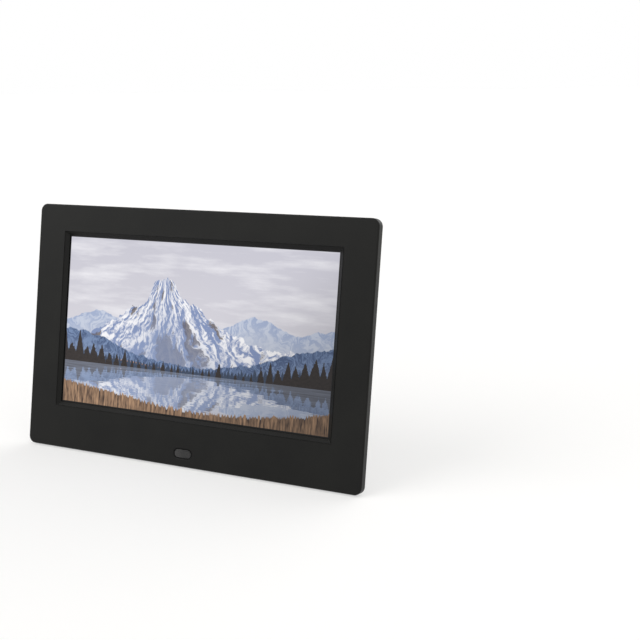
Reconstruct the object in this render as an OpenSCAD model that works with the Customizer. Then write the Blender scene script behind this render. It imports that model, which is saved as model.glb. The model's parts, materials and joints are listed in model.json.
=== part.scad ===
// Seven-inch digital photo frame that stands on a screw-in leg.
// Local axes of the case: x across, y from the front face to the back, z up the face.
// seated() leans the whole case back and sets it down on z = 0.

/* [Case] */
// Width of the case, mm
case_w = 193; // [180:0.5:206]
// Height of the case, mm
case_h = 127; // [118:0.5:136]
// Radius of the case's four outer corners, mm
corner_r = 3.8; // [3:0.1:5]
// Depth of the rim's side wall, mm
rim_depth = 4.6; // [4.4:0.1:5]
// Width of the rim's rear edge, mm
rim_w = 2.3; // [2:0.1:2.6]
// Thickness of the bezel's face, mm
face_t = 2; // [1.9:0.1:2.2]
// Depth of the case from its face to the back panel, mm
case_depth = 16.8; // [16:0.1:19]
// Wall of the rear cover, mm
wall = 1.9; // [1.8:0.1:2]
// Width of the sloping border at each side of the back panel, mm
slope_w = 21.1; // [19:0.1:23]
// Height of the sloping border above and below the back panel, mm
slope_h = 16.7; // [15.5:0.1:17.5]
// Height of the raised panel above the sloping border, mm
panel_rise = 6.5; // [6:0.1:6.8]
// Radius of the raised panel's corners, mm
panel_r = 2.5; // [2:0.1:3.5]

/* [Screen] */
// Width of the bezel at each side of the picture, mm
side_border = 19.4; // [18:0.1:21]
// Height of the bezel above the picture, mm
top_border = 16.45; // [15.5:0.05:18]
// Height of the bezel below the picture, mm
bottom_border = 24.65; // [24:0.05:27]
// Width of the bevelled lip round the window, mm
lip_w = 2; // [1.6:0.1:2.4]
// Black border that shows beside the picture, mm
border_w = 0.7; // [0.5:0.1:1]

/* [Remote receiver window] */
// Height of the window's centre above the case's lower edge, mm
eye_rise = 6.6; // [6.3:0.1:7.3]
// Radius of the window's round ends, mm
eye_r = 2.15; // [1.9:0.05:2.3]
// Distance between the centres of the window's round ends, mm
eye_span = 5.5; // [4.5:0.1:6]

/* [Leg] */
// Length of the leg outside the panel, mm
leg_len = 90; // [80:1:100]
// Radius of the leg, mm
leg_r = 3.5; // [3.3:0.1:4]
// Height of the leg above the panel's lower edge, mm
leg_rise = 8.3; // [7.5:0.1:9]
// Radius of the leg's rubber tip, mm
tip_r = 4.1; // [4:0.1:4.8]
// Length of the leg's rubber tip, mm
tip_len = 13; // [10:0.5:16]

/* [Back fittings] */
// Distance from the side inserts to the panel's edge, mm
insert_side = 9.2; // [8.5:0.1:10]
// Distance from the middle inserts to the case's centre line, mm
insert_mid = 11; // [10:0.1:12]
// Distance from the upper inserts to the panel's upper edge, mm
insert_top = 7.25; // [6.8:0.05:8]
// Distance from the lower inserts to the panel's lower edge, mm
insert_low = 13.05; // [13:0.05:14.5]
// Radius of the inserts' threaded hole, mm
insert_bore_r = 1.25; // [1.2:0.01:1.7]
// Length of the inserts, mm
insert_len = 5; // [4.5:0.1:5.5]
// Radius of the upper keyhole's round end, mm
key_r = 4.45; // [4:0.05:5]
// Width of the upper keyhole's slot, mm
key_slot_w = 4.6; // [4:0.1:5.2]
// Length of each speaker slot, mm
slot_len = 9.9; // [9:0.1:10.8]
// Width of each speaker slot, mm
slot_w = 1; // [0.8:0.1:1.2]
// Distance from one speaker slot to the next, mm
slot_pitch = 3.85; // [3.4:0.05:4.2]
// Width of the rating label, mm
label_w = 48.3; // [43:0.1:53]
// Height of the rating label, mm
label_h = 26.3; // [23:0.1:29]

/* [Controls] */
// Radius of the power button's cap, mm
button_r = 6.7; // [6:0.1:7.4]
// Travel of the power button, mm
button_travel = 0.5; // [0.3:0.05:0.55]
// Width of the slide switch's knob, mm
knob_w = 8.5; // [7.5:0.1:9.5]
// Travel of the slide switch, mm
knob_travel = 3.5; // [2.5:0.1:4]

/* [Hidden] */
$fn = 64;
eps = 0.01;
over = 1;                // how far a cut runs past the face it opens
reach = 2 * max(case_w, leg_len);
gap = 0.3;               // open joint between cover and rim, and round moving pieces
slip = 0.05;             // clearance of parts dropped into one another
hold = 0.02;             // radial clearance of parts pressed or screwed together
fit = 0.15;              // room round sockets in their openings

// Case sections
panel_w = case_w - 2 * slope_w;
panel_h = case_h - 2 * slope_h;
slope_y = case_depth - panel_rise;
edge_ease = 0.5;
panel_ease = 0.7;
cavity_r = 1.5;
cover_w = case_w - 2 * (rim_w + gap);
cover_h = case_h - 2 * (rim_w + gap);
cover_r = 1.2;
flange_t = 1.7;
slope_foot = 0.4;        // the slope runs this much under the panel's edge
panel_inner_y = case_depth - wall;
slope_in_y = slope_y - wall;
slope_foot_y = rim_depth - wall;
top_z = panel_h / 2;
bottom_z = -panel_h / 2;
side_x = -panel_w / 2;

// Catches on the cover's flange
catch_len = 9;
catch_y = 3.1;
catch_t = 0.7;
catch_out = 0.65;
catch_room = 0.15;
catch_x = case_w * 0.363;
catch_z = case_h * 0.3;

// Screen stack, from the bezel's inner face backwards
screen_w = case_w - 2 * side_border;
screen_h = case_h - top_border - bottom_border;
screen_raise = (bottom_border - top_border) / 2;
bevel_y = face_t - 0.3;
gasket_t = 0.2;
gasket_back = 0.7;
glass_t = 1.2;
light_t = 1.6;
tray_t = 0.3;
glass_y = face_t + gasket_t;
light_y = glass_y + glass_t;
tray_y = light_y + light_t;
tray_back_y = tray_y + tray_t;
tray_lap = 2.2;
module_side = 5.4;
module_over = 3.5;
module_under = 9.55;
module_w = screen_w + 2 * module_side;
module_top = screen_raise + screen_h / 2 + module_over;
module_bottom = screen_raise - screen_h / 2 - module_under;
module_h = module_top - module_bottom;
module_z = (module_top + module_bottom) / 2;
window_w = screen_w + 2 * border_w;
window_h = screen_h + 2 * border_w;
rib_t = 1.2;
rib_len = 20;
rib_off = 0.36;          // share of the module's side from its middle to a locating rib
press_t = 1.6;
press_off = 0.2;

// Main board: hangs under posts from the back panel
part_room = 5.1;
board_t = 1.2;
board_y = panel_inner_y - part_room;
board_front_y = board_y - board_t;
board_side = 19.4;
board_x0 = side_x + board_side;
board_x1 = 34;
board_z0 = bottom_z + 2.4;
board_z1 = board_z0 + panel_h * 0.56;
post_r = 2.4;
post_in = 3.5;
post_foot = 3.9;
post_mid = 27;
post_spots = [
  [board_x0 + post_in, board_z1 - post_in], [12, board_z1 - post_in],
  [board_x0 + post_mid, board_z0 + post_foot], [27.5, board_z0 + post_foot]
];
screw_r = 1.1;
screw_head_r = 2;
screw_head_t = 1.3;
screw_len = 5.5;
drive_w = 0.5;
drive_len = 2.2;
drive_depth = 0.7;

// [x, z, width, height, thickness] of each chip, from the board's lower corner
chips = [[34, 30.4, 14, 14, 1.4], [53, 30.4, 9, 6.5, 1.1], [53, 18.4, 6, 5, 1.5], [12, 34.4, 5, 4, 1.5]];
can_r = 3.1;
can_t = 3.9;
can_foot_t = 0.5;
can_x0 = 8;
can_step = 7.5;
can_z = 20.4;
coil_w = 6;
coil_r = 2.8;
coil_x = 33;
coil_z = 14.4;
coil_t = 2.8;
coil_foot_t = 0.6;

// Display cable and its socket
ribbon_x0 = -20;
ribbon_x1 = 6;
ribbon_t = 0.25;
ribbon_foot = 3.7;
ribbon_flat = 1.4;
ribbon_bend = 2.6;
socket_side = 1.5;
socket_t = 1.2;
socket_h = 4.5;
socket_lip = 0.3;
socket_up = 8.4;
socket_z0 = board_z0 + socket_up;

// Threaded inserts and the leg's bush
insert_spots = [for (x = [side_x + insert_side, insert_mid], z = [bottom_z + insert_low, top_z - insert_top]) [x, z]];
insert_r = 2.6;
insert_flange_r = 2.75;
insert_flange_t = 0.6;
insert_sink = 0.1;
insert_lead = 0.5;
boss_floor = 0.8;
boss_wall = 1.2;
leg_z = bottom_z + leg_rise;
bush_r = 3.2;
bush_bore_r = 2.12;
bush_len = 5.4;
leg_ease = 0.4;
neck_r = leg_r - 0.6;
neck_end = leg_len - 3.4;
stud_r = bush_bore_r - slip;
stud_root_r = stud_r - 0.35;
stud_pitch = 0.8;
stud_turns = 6;
stud_flat = 0.05;        // half of a thread crest's width, as a share of the pitch
stud_in_leg = 9;

// Keyholes and the closed pockets behind them
key_x = 0.6;
key_down = 12.6;
key_end = 3.8;
key_z = top_z - key_down;
key_top = top_z - key_end;
side_key_in = 9.8;
side_key_x = side_x + side_key_in;
side_key_z = -0.4;
side_key_r = 2.8;
side_key_slot_w = 2.4;
side_key_edge = 6;
side_key_end = side_x + side_key_edge;
pocket_floor = 1.2;
pocket_deep = 3.1;
pocket_wall = 1.2;
pocket_room = 0.8;
pocket_side = 4.4;
upper_pocket = [key_x - key_r - pocket_room, key_x + key_r + pocket_room,
                key_z - key_r - pocket_room, key_top + pocket_room];
side_pocket = [side_key_end - pocket_room, side_key_x + side_key_r + pocket_room,
               side_key_z - pocket_side, side_key_z + pocket_side];

label_x = -14.4;
label_z = -0.5;
label_t = 0.2;
label_r = 1.6;

// Speaker: frame, basket, cone and magnet behind the slots
slot_rows = 4;
slot_gap = 3.4;
speaker_side = 26.9;
speaker_top = 21.9;
speaker_x = side_x + speaker_side;
speaker_z = top_z - speaker_top;
frame_w = 30;
frame_h = 20;
frame_t = 2;
frame_r = 3;
basket_w = 26;
basket_h = 17;
basket_t = 1.5;
basket_r = 4;
cone_r = 8.4;
cone_foot_r = 4.4;
cone_t = 0.8;
cone_roll = 0.6;
cone_drop = 0.7;
cone_room = 0.2;
magnet_r = 7;
magnet_t = 2.6;
cap_r = 5.8;
cap_t = 0.5;
basket_y = panel_inner_y - frame_t;
magnet_y = basket_y - basket_t;
plug_x = board_x0 + 9;
plug_w = 5.2;
plug_t = 3.2;
plug_z1 = board_z1 - 1.5;
plug_h = 6;
wire_r = 0.45;
wire_gap = 1;

// Sockets in the panel's lower edge
recess_y = board_y - 2;
recess_floor = 1.6;
recess_side = 1.5;
recess_len = 7.6;
recess_open = 12;
recess_notch = 1.1;
grip_w = 12.8;
usb_x = 14.1;
usb_w = 7.6;
usb_foot_w = 6.2;
usb_t = 3.9;
usb_step0 = 1.1;
usb_step1 = 1.6;
usb_len = 8.6;
usb_front_z = bottom_z + 0.2;
usb_shell_t = 0.3;
usb_base = 2.4;
usb_back_z = usb_front_z + usb_len - usb_shell_t;
tongue_w = 4.4;
tongue_t = 0.9;
tongue_y = board_y + 1.6;
tongue_set = 0.8;
contact_w = 0.4;
contact_t = 0.15;
contact_pitch = 0.8;
contact_set = 1.2;
jack_x = -8.2;
jack_w = 7;
jack_t = 4.8;
jack_len = 12;
jack_front_z = bottom_z + 0.9;
jack_nose_r = 2.3;
jack_nose = 1.8;
jack_bore_r = 1.78;
jack_bore_len = 9;
jack_pin_r = 0.65;
jack_pin_set = 1.2;
jack_y = board_y + jack_t / 2;

// Slide switch
knob_side = 34.7;
knob_right = side_x + knob_side;
knob_left = knob_right - knob_w;
knob_y0 = board_y + 1.2;
knob_y1 = case_depth - 1.2;
knob_out = 5.8;
knob_back_z = bottom_z + 1.1;
knob_flare = 0.9;        // the knob's back face leans out by this much at its tip
knob_chin = 0.8;
knob_rise = 0.6;
groove_w = 0.7;
groove_step = 1.8;
groove_deep = 0.35;
stem_w = 4;
stem_t = 1.6;
stem_x = knob_right - knob_w / 2;
switch_t = 3.4;
switch_len = 4.8;

// Round push button over its dome switch
button_x = 26.6;
button_z = 0;
button_sink = 0.8;
button_ease = 0.4;
button_flange_r = button_r + 1.4;
button_flange_t = 1.3;
button_stem_r = 1.6;
button_stem = 0.4;
guide_r = button_flange_r + gap;
guide_t = 1;
guide_len = 2.6;
button_back_y = panel_inner_y - slip;
tact_w = 6;
tact_t = 2;
tact_stem_r = 1.7;
tact_free = 0.1;
tact_top_y = button_back_y - button_flange_t - button_stem - button_travel - tact_free;

// Remote receiver behind its window
eye_z = -case_h / 2 + eye_rise;
eye_hole_r = eye_r + slip;
eye_rim_r = eye_r + 0.45;
eye_bevel = 0.5;         // depth of the countersink round the window
eye_sink = 0.1;
eye_flange_w = 13;
eye_flange_h = 7;
eye_flange_r = 1;
eye_flange_t = 0.8;
eye_board_w = 24;
eye_board_h = 8;
eye_board_t = 0.6;
eye_board_y = face_t + 1.4;
eye_board_z0 = eye_z - 1.6;
eye_board_z1 = eye_board_z0 + eye_board_h;
eye_post_x = 10;
eye_post_z = eye_z + 2.4;
eye_post_r = 1.3;
eye_pin_r = 0.6;
eye_pin_end = 0.2;
chip_w = 5;
chip_h = 4;
chip_y = face_t + 0.7;
chip_z = eye_z + 0.6;
lens_r0 = 1;
lens_r1 = 1.4;
lead_w = 4.8;
lead_t = 0.4;
lead_lap = 3;
lead_bend = 1.5;
lead_rise = 0.48;        // share of the way up to the board at which the ribbon bends
lead_edge = 0.4;

// Lean: the rim's lower rear edge and the leg's rubber tip touch the table together
foot_z = case_h / 2 + leg_z;
foot_y = case_depth + leg_len - tip_r - rim_depth;
lean = acos(tip_r / sqrt(foot_z * foot_z + foot_y * foot_y)) - atan(foot_y / foot_z);
seat_z = case_h / 2 * cos(lean) + rim_depth * sin(lean);
front_y = -case_h / 2 * sin(lean);
back_y = (case_depth + leg_len - tip_r) * cos(lean) + leg_z * sin(lean) + tip_r;
seat_y = -(front_y + back_y) / 2;

// ---- shared shapes ----

module seated() {
  translate([0, seat_y, seat_z])
    rotate([-lean, 0, 0])
      children();
}

// A flat outline in x and z, thickened from depth y0 to depth y1
module slab(y0, y1) {
  translate([0, y1, 0])
    rotate([90, 0, 0])
      linear_extrude(y1 - y0)
        children();
}

// An outline in z and y, drawn out sideways from x0 to x1
module strip(x0, x1) {
  translate([(x0 + x1) / 2, 0, 0])
    rotate([0, -90, 0])
      linear_extrude(x1 - x0, center = true)
        children();
}

module box(x0, x1, y0, y1, z0, z1) {
  translate([x0, y0, z0])
    cube([x1 - x0, y1 - y0, z1 - z0]);
}

// A round bar or hole along y
module bar(x, z, r, y0, y1) {
  translate([x, y0, z])
    rotate([-90, 0, 0])
      cylinder(r = r, h = y1 - y0);
}

// A round cone along y
module cone(x, z, r0, y0, r1, y1) {
  translate([x, y0, z])
    rotate([-90, 0, 0])
      cylinder(r1 = r0, r2 = r1, h = y1 - y0);
}

module round_rect(w, h, r) {
  square([w - 2 * r, h], center = true);
  square([w, h - 2 * r], center = true);
  for (sx = [-1, 1], sz = [-1, 1])
    translate([sx * (w / 2 - r), sz * (h / 2 - r)])
      circle(r = r);
}

// A four-sided taper with mitred corners, w0 by h0 at y0 and w1 by h1 at y1
module taper(w0, h0, y0, w1, h1, y1) {
  intersection() {
    linear_extrude(reach, center = true)
      polygon([[-w0 / 2, y0], [w0 / 2, y0], [w1 / 2, y1], [-w1 / 2, y1]]);
    rotate([0, -90, 0])
      linear_extrude(reach, center = true)
        polygon([[-h0 / 2, y0], [h0 / 2, y0], [h1 / 2, y1], [-h1 / 2, y1]]);
  }
}

// One layer of a rounded block whose edge goes from inset c0 at y0 to inset c1 at y1
module eased_layer(w, h, r, y0, c0, y1, c1) {
  linear_extrude(h - 2 * r, center = true)
    polygon([[-w / 2 + c0, y0], [w / 2 - c0, y0], [w / 2 - c1, y1], [-w / 2 + c1, y1]]);
  strip(-w / 2 + r, w / 2 - r)
    polygon([[-h / 2 + c0, y0], [h / 2 - c0, y0], [h / 2 - c1, y1], [-h / 2 + c1, y1]]);
  for (sx = [-1, 1], sz = [-1, 1])
    cone(sx * (w / 2 - r), sz * (h / 2 - r), r - c0, y0, r - c1, y1);
}

// ---- bezel and what shows on the front ----

module eye_outline(r) {
  square([eye_span, 2 * r], center = true);
  for (s = [-1, 1])
    translate([s * eye_span / 2, 0])
      circle(r = r);
}

module eye_taper(r0, y0, r1, y1) {
  translate([0, 0, eye_z]) {
    strip(-eye_span / 2, eye_span / 2)
      polygon([[-r0, y0], [r0, y0], [r1, y1], [-r1, y1]]);
    for (s = [-1, 1])
      cone(s * eye_span / 2, 0, r0, y0, r1, y1);
  }
}

// One snap bump that stands out of the flange; grown, it cuts the rim's pocket
module catch_bump(grow) {
  translate([0, catch_y + catch_t / 2, 0])
    cube([catch_len + 2 * grow, catch_t + 2 * grow, 2 * (catch_out + grow)], center = true);
}

module catches(grow) {
  for (x = [-catch_x, 0, catch_x])
    translate([x, 0, cover_h / 2]) catch_bump(grow);
  for (x = [-catch_x, catch_x])
    translate([x, 0, -cover_h / 2]) catch_bump(grow);
  for (s = [-1, 1], z = [-catch_z, catch_z])
    translate([s * cover_w / 2, 0, z]) rotate([0, 90, 0]) catch_bump(grow);
}

// Short ribs that centre the display module in the bezel
module locating_ribs() {
  slab(face_t - eps, tray_y) translate([0, module_z]) {
    for (sx = [-1, 1], sz = [-1, 1]) {
      translate([sx * (module_w / 2 + slip + rib_t / 2), sz * module_h * rib_off])
        square([rib_t, rib_len], center = true);
      translate([sx * module_w * rib_off, sz * (module_h / 2 + slip + rib_t / 2)])
        square([rib_len, rib_t], center = true);
    }
  }
}

module front_bezel() {
  mouth_w = window_w + 2 * lip_w;
  mouth_h = window_h + 2 * lip_w;
  color("#2b2b29") seated() difference() {
    union() {
      difference() {
        union() {
          eased_layer(case_w, case_h, corner_r, 0, edge_ease, edge_ease, 0);
          slab(edge_ease, rim_depth) round_rect(case_w, case_h, corner_r);
        }
        slab(face_t, rim_depth + over)
          round_rect(case_w - 2 * rim_w, case_h - 2 * rim_w, cavity_r);
      }
      locating_ribs();
      for (s = [-1, 1]) {
        bar(s * eye_post_x, eye_post_z, eye_post_r, face_t - eps, eye_board_y);
        bar(s * eye_post_x, eye_post_z, eye_pin_r, face_t, eye_board_y + eye_board_t + eye_pin_end);
      }
    }
    translate([0, 0, screen_raise]) {
      taper(mouth_w, mouth_h, 0, window_w, window_h, bevel_y);
      slab(-over, eps) square([mouth_w, mouth_h], center = true);
      slab(bevel_y - eps, face_t + over) square([window_w, window_h], center = true);
    }
    eye_taper(eye_rim_r, -eps, eye_hole_r, eye_bevel);
    translate([0, 0, eye_z]) {
      slab(0, face_t + over) eye_outline(eye_hole_r);
      slab(face_t - eye_flange_t, face_t + over)
        round_rect(eye_flange_w + 2 * slip, eye_flange_h + 2 * slip, eye_flange_r);
    }
    catches(catch_room);
  }
}

module remote_window() {
  color("#1b1a1d") seated() translate([0, 0, eye_z]) {
    slab(eye_sink, face_t) eye_outline(eye_r);
    slab(face_t - eye_flange_t + slip, face_t)
      round_rect(eye_flange_w, eye_flange_h, eye_flange_r);
  }
}

module remote_receiver() {
  color("#16161a") seated() {
    box(-chip_w / 2, chip_w / 2, chip_y, eye_board_y, chip_z - chip_h / 2, chip_z + chip_h / 2);
    cone(0, chip_z, lens_r0, face_t + slip, lens_r1, chip_y + eps);
  }
}

module remote_board() {
  color("#1d5a34") seated() difference() {
    box(-eye_board_w / 2, eye_board_w / 2, eye_board_y, eye_board_y + eye_board_t,
        eye_board_z0, eye_board_z1);
    for (s = [-1, 1])
      bar(s * eye_post_x, eye_post_z, eye_pin_r + slip, eye_board_y - over,
          eye_board_y + eye_board_t + over);
  }
}

module remote_ribbon() {
  from_y = eye_board_y + eye_board_t;
  from_z = eye_board_z1 - lead_lap;
  bend_z = eye_board_z1 + lead_bend;
  bend_y = from_y + lead_rise * (board_front_y - from_y);
  rise_z = board_z0 - lead_edge;
  rise_y = board_front_y - 2.5 * lead_t;
  end_z = board_z0 + lead_lap;
  color("#8a8a88") seated() strip(-lead_w / 2, lead_w / 2)
    polygon([
      [from_z, from_y], [eye_board_z1 - lead_t, from_y], [bend_z, bend_y], [rise_z, rise_y],
      [board_z0 + 2 * lead_edge, board_front_y - lead_t], [end_z, board_front_y - lead_t],
      [end_z, board_front_y], [board_z0 + lead_edge, board_front_y],
      [rise_z - lead_t / 2, rise_y + lead_t], [bend_z - lead_t / 2, bend_y + lead_t],
      [eye_board_z1 - 2 * lead_t, from_y + lead_t], [from_z, from_y + lead_t]
    ]);
}

// ---- display module ----

module module_outline(inset) {
  translate([0, module_z])
    square([module_w - 2 * inset, module_h - 2 * inset], center = true);
}

module screen_gasket() {
  color("#101010") seated() slab(face_t, glass_y) difference() {
    module_outline(tray_t + slip);
    translate([0, screen_raise])
      square([window_w + 2 * gasket_back, window_h + 2 * gasket_back], center = true);
  }
}

module screen_glass() {
  color("#c9c8d0") seated() slab(glass_y, light_y) module_outline(tray_t + slip);
}

module screen_backlight() {
  color("#f0f0ea") seated() slab(light_y, tray_y) module_outline(tray_t + slip);
}

module screen_tray() {
  color("#b9bcc0") seated() {
    slab(tray_y, tray_back_y) module_outline(0);
    slab(tray_y - tray_lap, tray_y + eps) difference() {
      module_outline(0);
      module_outline(tray_t);
    }
  }
}

module screen_ribbon() {
  low_z = module_bottom + ribbon_foot;
  bend_z = low_z + ribbon_flat;
  lip_z = socket_z0 - ribbon_bend;
  lip_y = board_front_y - socket_t + socket_lip;
  color("#b87a2c") seated() strip(ribbon_x0, ribbon_x1)
    polygon([
      [low_z, tray_back_y], [bend_z, tray_back_y], [lip_z, lip_y], [socket_z0, lip_y],
      [socket_z0, lip_y + ribbon_t], [lip_z - ribbon_t, lip_y + ribbon_t],
      [bend_z - ribbon_t, tray_back_y + ribbon_t], [low_z, tray_back_y + ribbon_t]
    ]);
}

module ribbon_socket() {
  color("#e7e3d6") seated()
    box(ribbon_x0 - socket_side, ribbon_x1 + socket_side, board_front_y - socket_t,
        board_front_y, socket_z0, socket_z0 + socket_h);
}

// ---- main board and what it carries ----

module main_board() {
  color("#17603a") seated() difference() {
    box(board_x0, board_x1, board_front_y, board_y, board_z0, board_z1);
    for (p = post_spots)
      bar(p[0], p[1], screw_r + gap, board_front_y - over, board_y + over);
  }
}

module main_chips() {
  color("#17171a") seated() translate([board_x0, board_y, board_z0]) for (c = chips)
    translate([c[0] - c[2] / 2, 0, c[1] - c[3] / 2])
      cube([c[2], c[4], c[3]]);
}

module board_capacitors() {
  z = board_z0 + can_z;
  color("#c4c7cb") seated() for (i = [0 : 2]) {
    x = board_x0 + can_x0 + i * can_step;
    box(x - can_r, x + can_r, board_y, board_y + can_foot_t, z - can_r, z + can_r);
    bar(x, z, can_r - slip, board_y + can_foot_t - eps, board_y + can_foot_t + can_t);
  }
}

module board_coil() {
  x = board_x0 + coil_x;
  z = board_z0 + coil_z;
  color("#5b5d60") seated() {
    box(x - coil_w / 2, x + coil_w / 2, board_y, board_y + coil_foot_t,
        z - coil_w / 2, z + coil_w / 2);
    bar(x, z, coil_r, board_y + coil_foot_t - eps, board_y + coil_t);
  }
}

module board_screws() {
  color("#a8abb0") seated() for (p = post_spots) difference() {
    union() {
      bar(p[0], p[1], screw_r, board_front_y - eps, board_front_y + screw_len);
      bar(p[0], p[1], screw_head_r, board_front_y - screw_head_t, board_front_y);
    }
    for (turn = [0, 90])
      translate([p[0], board_front_y - screw_head_t - eps, p[1]])
        rotate([0, turn, 0])
          translate([-drive_len / 2, 0, -drive_w / 2])
            cube([drive_len, drive_depth, drive_w]);
  }
}

// Section of the data socket in x and y: the wide part lies away from the board
module usb_section(inset) {
  wide = usb_w / 2 - inset;
  foot = usb_foot_w / 2 - inset;
  translate([usb_x, board_y])
    polygon([
      [-foot, inset], [foot, inset], [foot, usb_step0], [wide, usb_step1],
      [wide, usb_t - inset], [-wide, usb_t - inset], [-wide, usb_step1], [-foot, usb_step0]
    ]);
}

module usb_shell() {
  color("#c6c8cc") seated() translate([0, 0, usb_front_z]) difference() {
    linear_extrude(usb_len) usb_section(0);
    translate([0, 0, -over]) linear_extrude(usb_len + over - usb_shell_t) usb_section(usb_shell_t);
  }
}

module usb_tongue() {
  color("#1a1a1c") seated() {
    box(usb_x - tongue_w / 2, usb_x + tongue_w / 2, tongue_y, tongue_y + tongue_t,
        usb_front_z + tongue_set, usb_back_z - usb_base + eps);
    translate([0, 0, usb_back_z - usb_base])
      linear_extrude(usb_base) usb_section(usb_shell_t + hold);
  }
}

module usb_contacts() {
  color("#d9b35c") seated() for (i = [-2 : 2])
    box(usb_x + i * contact_pitch - contact_w / 2, usb_x + i * contact_pitch + contact_w / 2,
        tongue_y - contact_t, tongue_y, usb_front_z + contact_set, usb_back_z - usb_base);
}

module power_jack() {
  color("#151516") seated() difference() {
    union() {
      box(jack_x - jack_w / 2, jack_x + jack_w / 2, board_y, board_y + jack_t,
          jack_front_z, jack_front_z + jack_len);
      translate([jack_x, jack_y, jack_front_z - jack_nose])
        cylinder(r = jack_nose_r, h = jack_nose + eps);
    }
    translate([jack_x, jack_y, jack_front_z - jack_nose - over])
      cylinder(r = jack_bore_r, h = jack_bore_len + over);
    translate([jack_x, jack_y, jack_front_z])
      cylinder(r = jack_pin_r + hold, h = jack_len - jack_pin_set + hold);
  }
}

module jack_pin() {
  nose_z = jack_front_z - jack_nose + jack_pin_set;
  color("#d9b35c") seated() translate([jack_x, jack_y, nose_z])
    cylinder(r = jack_pin_r, h = jack_front_z + jack_len - jack_pin_set - nose_z);
}

module switch_body() {
  color("#2a2a2c") seated()
    box(knob_left - knob_travel - gap, knob_right + gap, board_y, board_y + switch_t,
        board_z0, board_z0 + switch_len);
}

module switch_knob() {
  tip_z = bottom_z - knob_out;
  color("#3a3a3c") seated() difference() {
    union() {
      strip(knob_left, knob_right)
        polygon([
          [knob_back_z, knob_y0], [knob_back_z, knob_y1], [bottom_z, knob_y1],
          [tip_z, knob_y1 + knob_flare], [tip_z, knob_y0 + knob_rise], [tip_z + knob_chin, knob_y0]
        ]);
      box(stem_x - stem_w / 2, stem_x + stem_w / 2, knob_y0 + gap, knob_y0 + gap + stem_t,
          knob_back_z - eps, board_z0 - fit);
    }
    for (i = [-1, 0, 1])
      box(stem_x + i * groove_step - groove_w / 2, stem_x + i * groove_step + groove_w / 2,
          knob_y0 - over, knob_y1 + over, tip_z - over, tip_z + groove_deep);
  }
}

module button_switch() {
  color("#b4b7bb") seated() {
    box(button_x - tact_w / 2, button_x + tact_w / 2, board_y, board_y + tact_t,
        button_z - tact_w / 2, button_z + tact_w / 2);
    bar(button_x, button_z, tact_stem_r, board_y + tact_t - eps, tact_top_y);
  }
}

module power_button() {
  cap_y = case_depth - button_sink;
  flange_y = button_back_y - button_flange_t;
  color("#1f1f21") seated() {
    bar(button_x, button_z, button_r, button_back_y - eps, cap_y - button_ease);
    cone(button_x, button_z, button_r, cap_y - button_ease - eps, button_r - button_ease, cap_y);
    bar(button_x, button_z, button_flange_r, flange_y, button_back_y);
    bar(button_x, button_z, button_stem_r, flange_y - button_stem, flange_y + eps);
  }
}

// ---- speaker ----

module speaker_frame() {
  color("#3f4144") seated() translate([speaker_x, 0, speaker_z]) difference() {
    union() {
      slab(basket_y, panel_inner_y) round_rect(frame_w, frame_h, frame_r);
      slab(magnet_y, basket_y + eps) round_rect(basket_w, basket_h, basket_r);
    }
    bar(0, 0, cone_r + cone_room, basket_y - cone_room, panel_inner_y + over);
  }
}

module speaker_cone() {
  rim_y = panel_inner_y - cone_drop;
  foot_y = basket_y - cone_room;
  color("#1c1c1e") seated() translate([speaker_x, 0, speaker_z]) difference() {
    union() {
      cone(0, 0, cone_foot_r, foot_y, cone_r - cone_roll, rim_y - cone_roll / 2);
      bar(0, 0, cone_r, rim_y - cone_roll / 2 - eps, rim_y);
    }
    cone(0, 0, cone_foot_r - cone_t, foot_y + cone_t, cone_r - 2 * cone_roll, rim_y + eps);
  }
}

module speaker_magnet() {
  color("#8d9095") seated() translate([speaker_x, 0, speaker_z]) {
    bar(0, 0, magnet_r, magnet_y - magnet_t, magnet_y);
    bar(0, 0, cap_r, magnet_y - magnet_t - cap_t, magnet_y - magnet_t + eps);
  }
}

module speaker_wires() {
  end_z = speaker_z - basket_h / 2;
  color("#a8231e") seated() for (s = [-1, 1])
    translate([plug_x + s * wire_gap, magnet_y + basket_t / 2, plug_z1])
      cylinder(r = wire_r, h = end_z - plug_z1);
}

module speaker_plug() {
  color("#efeee8") seated()
    box(plug_x - plug_w / 2, plug_x + plug_w / 2, board_y, board_y + plug_t,
        plug_z1 - plug_h, plug_z1);
}

// ---- rear cover ----

module cover_outside() {
  slab(face_t, rim_depth + eps) round_rect(cover_w, cover_h, cover_r);
  taper(cover_w, cover_h, rim_depth, panel_w + slope_foot, panel_h + slope_foot, slope_y);
  slab(slope_y - eps, case_depth - panel_ease) round_rect(panel_w, panel_h, panel_r);
  eased_layer(panel_w, panel_h, panel_r, case_depth - panel_ease - eps, 0, case_depth, panel_ease);
}

module cover_inside() {
  slab(face_t - over, slope_foot_y + slope_foot)
    square([cover_w - 2 * flange_t, cover_h - 2 * flange_t], center = true);
  intersection() {
    taper(cover_w, cover_h, slope_foot_y, panel_w + slope_foot, panel_h + slope_foot, slope_in_y);
    slab(face_t, case_depth)
      square([cover_w - 2 * flange_t, cover_h - 2 * flange_t], center = true);
  }
  slab(slope_in_y - eps, panel_inner_y)
    round_rect(panel_w - 2 * wall, panel_h - 2 * wall, cavity_r);
}

// Long ribs under the raised panel's walls that press the display module on the bezel
module press_ribs() {
  x = panel_w / 2 - press_off;
  z = panel_h / 2 - press_off;
  slab(tray_back_y, slope_in_y + wall / 2) {
    for (s = [-1, 1]) {
      translate([s * x, 0]) square([press_t, panel_h * 0.64], center = true);
      translate([s * panel_w * 0.29, -z]) square([panel_w * 0.24, press_t], center = true);
    }
    translate([0, z]) square([panel_w * 0.66, press_t], center = true);
  }
}

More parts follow.
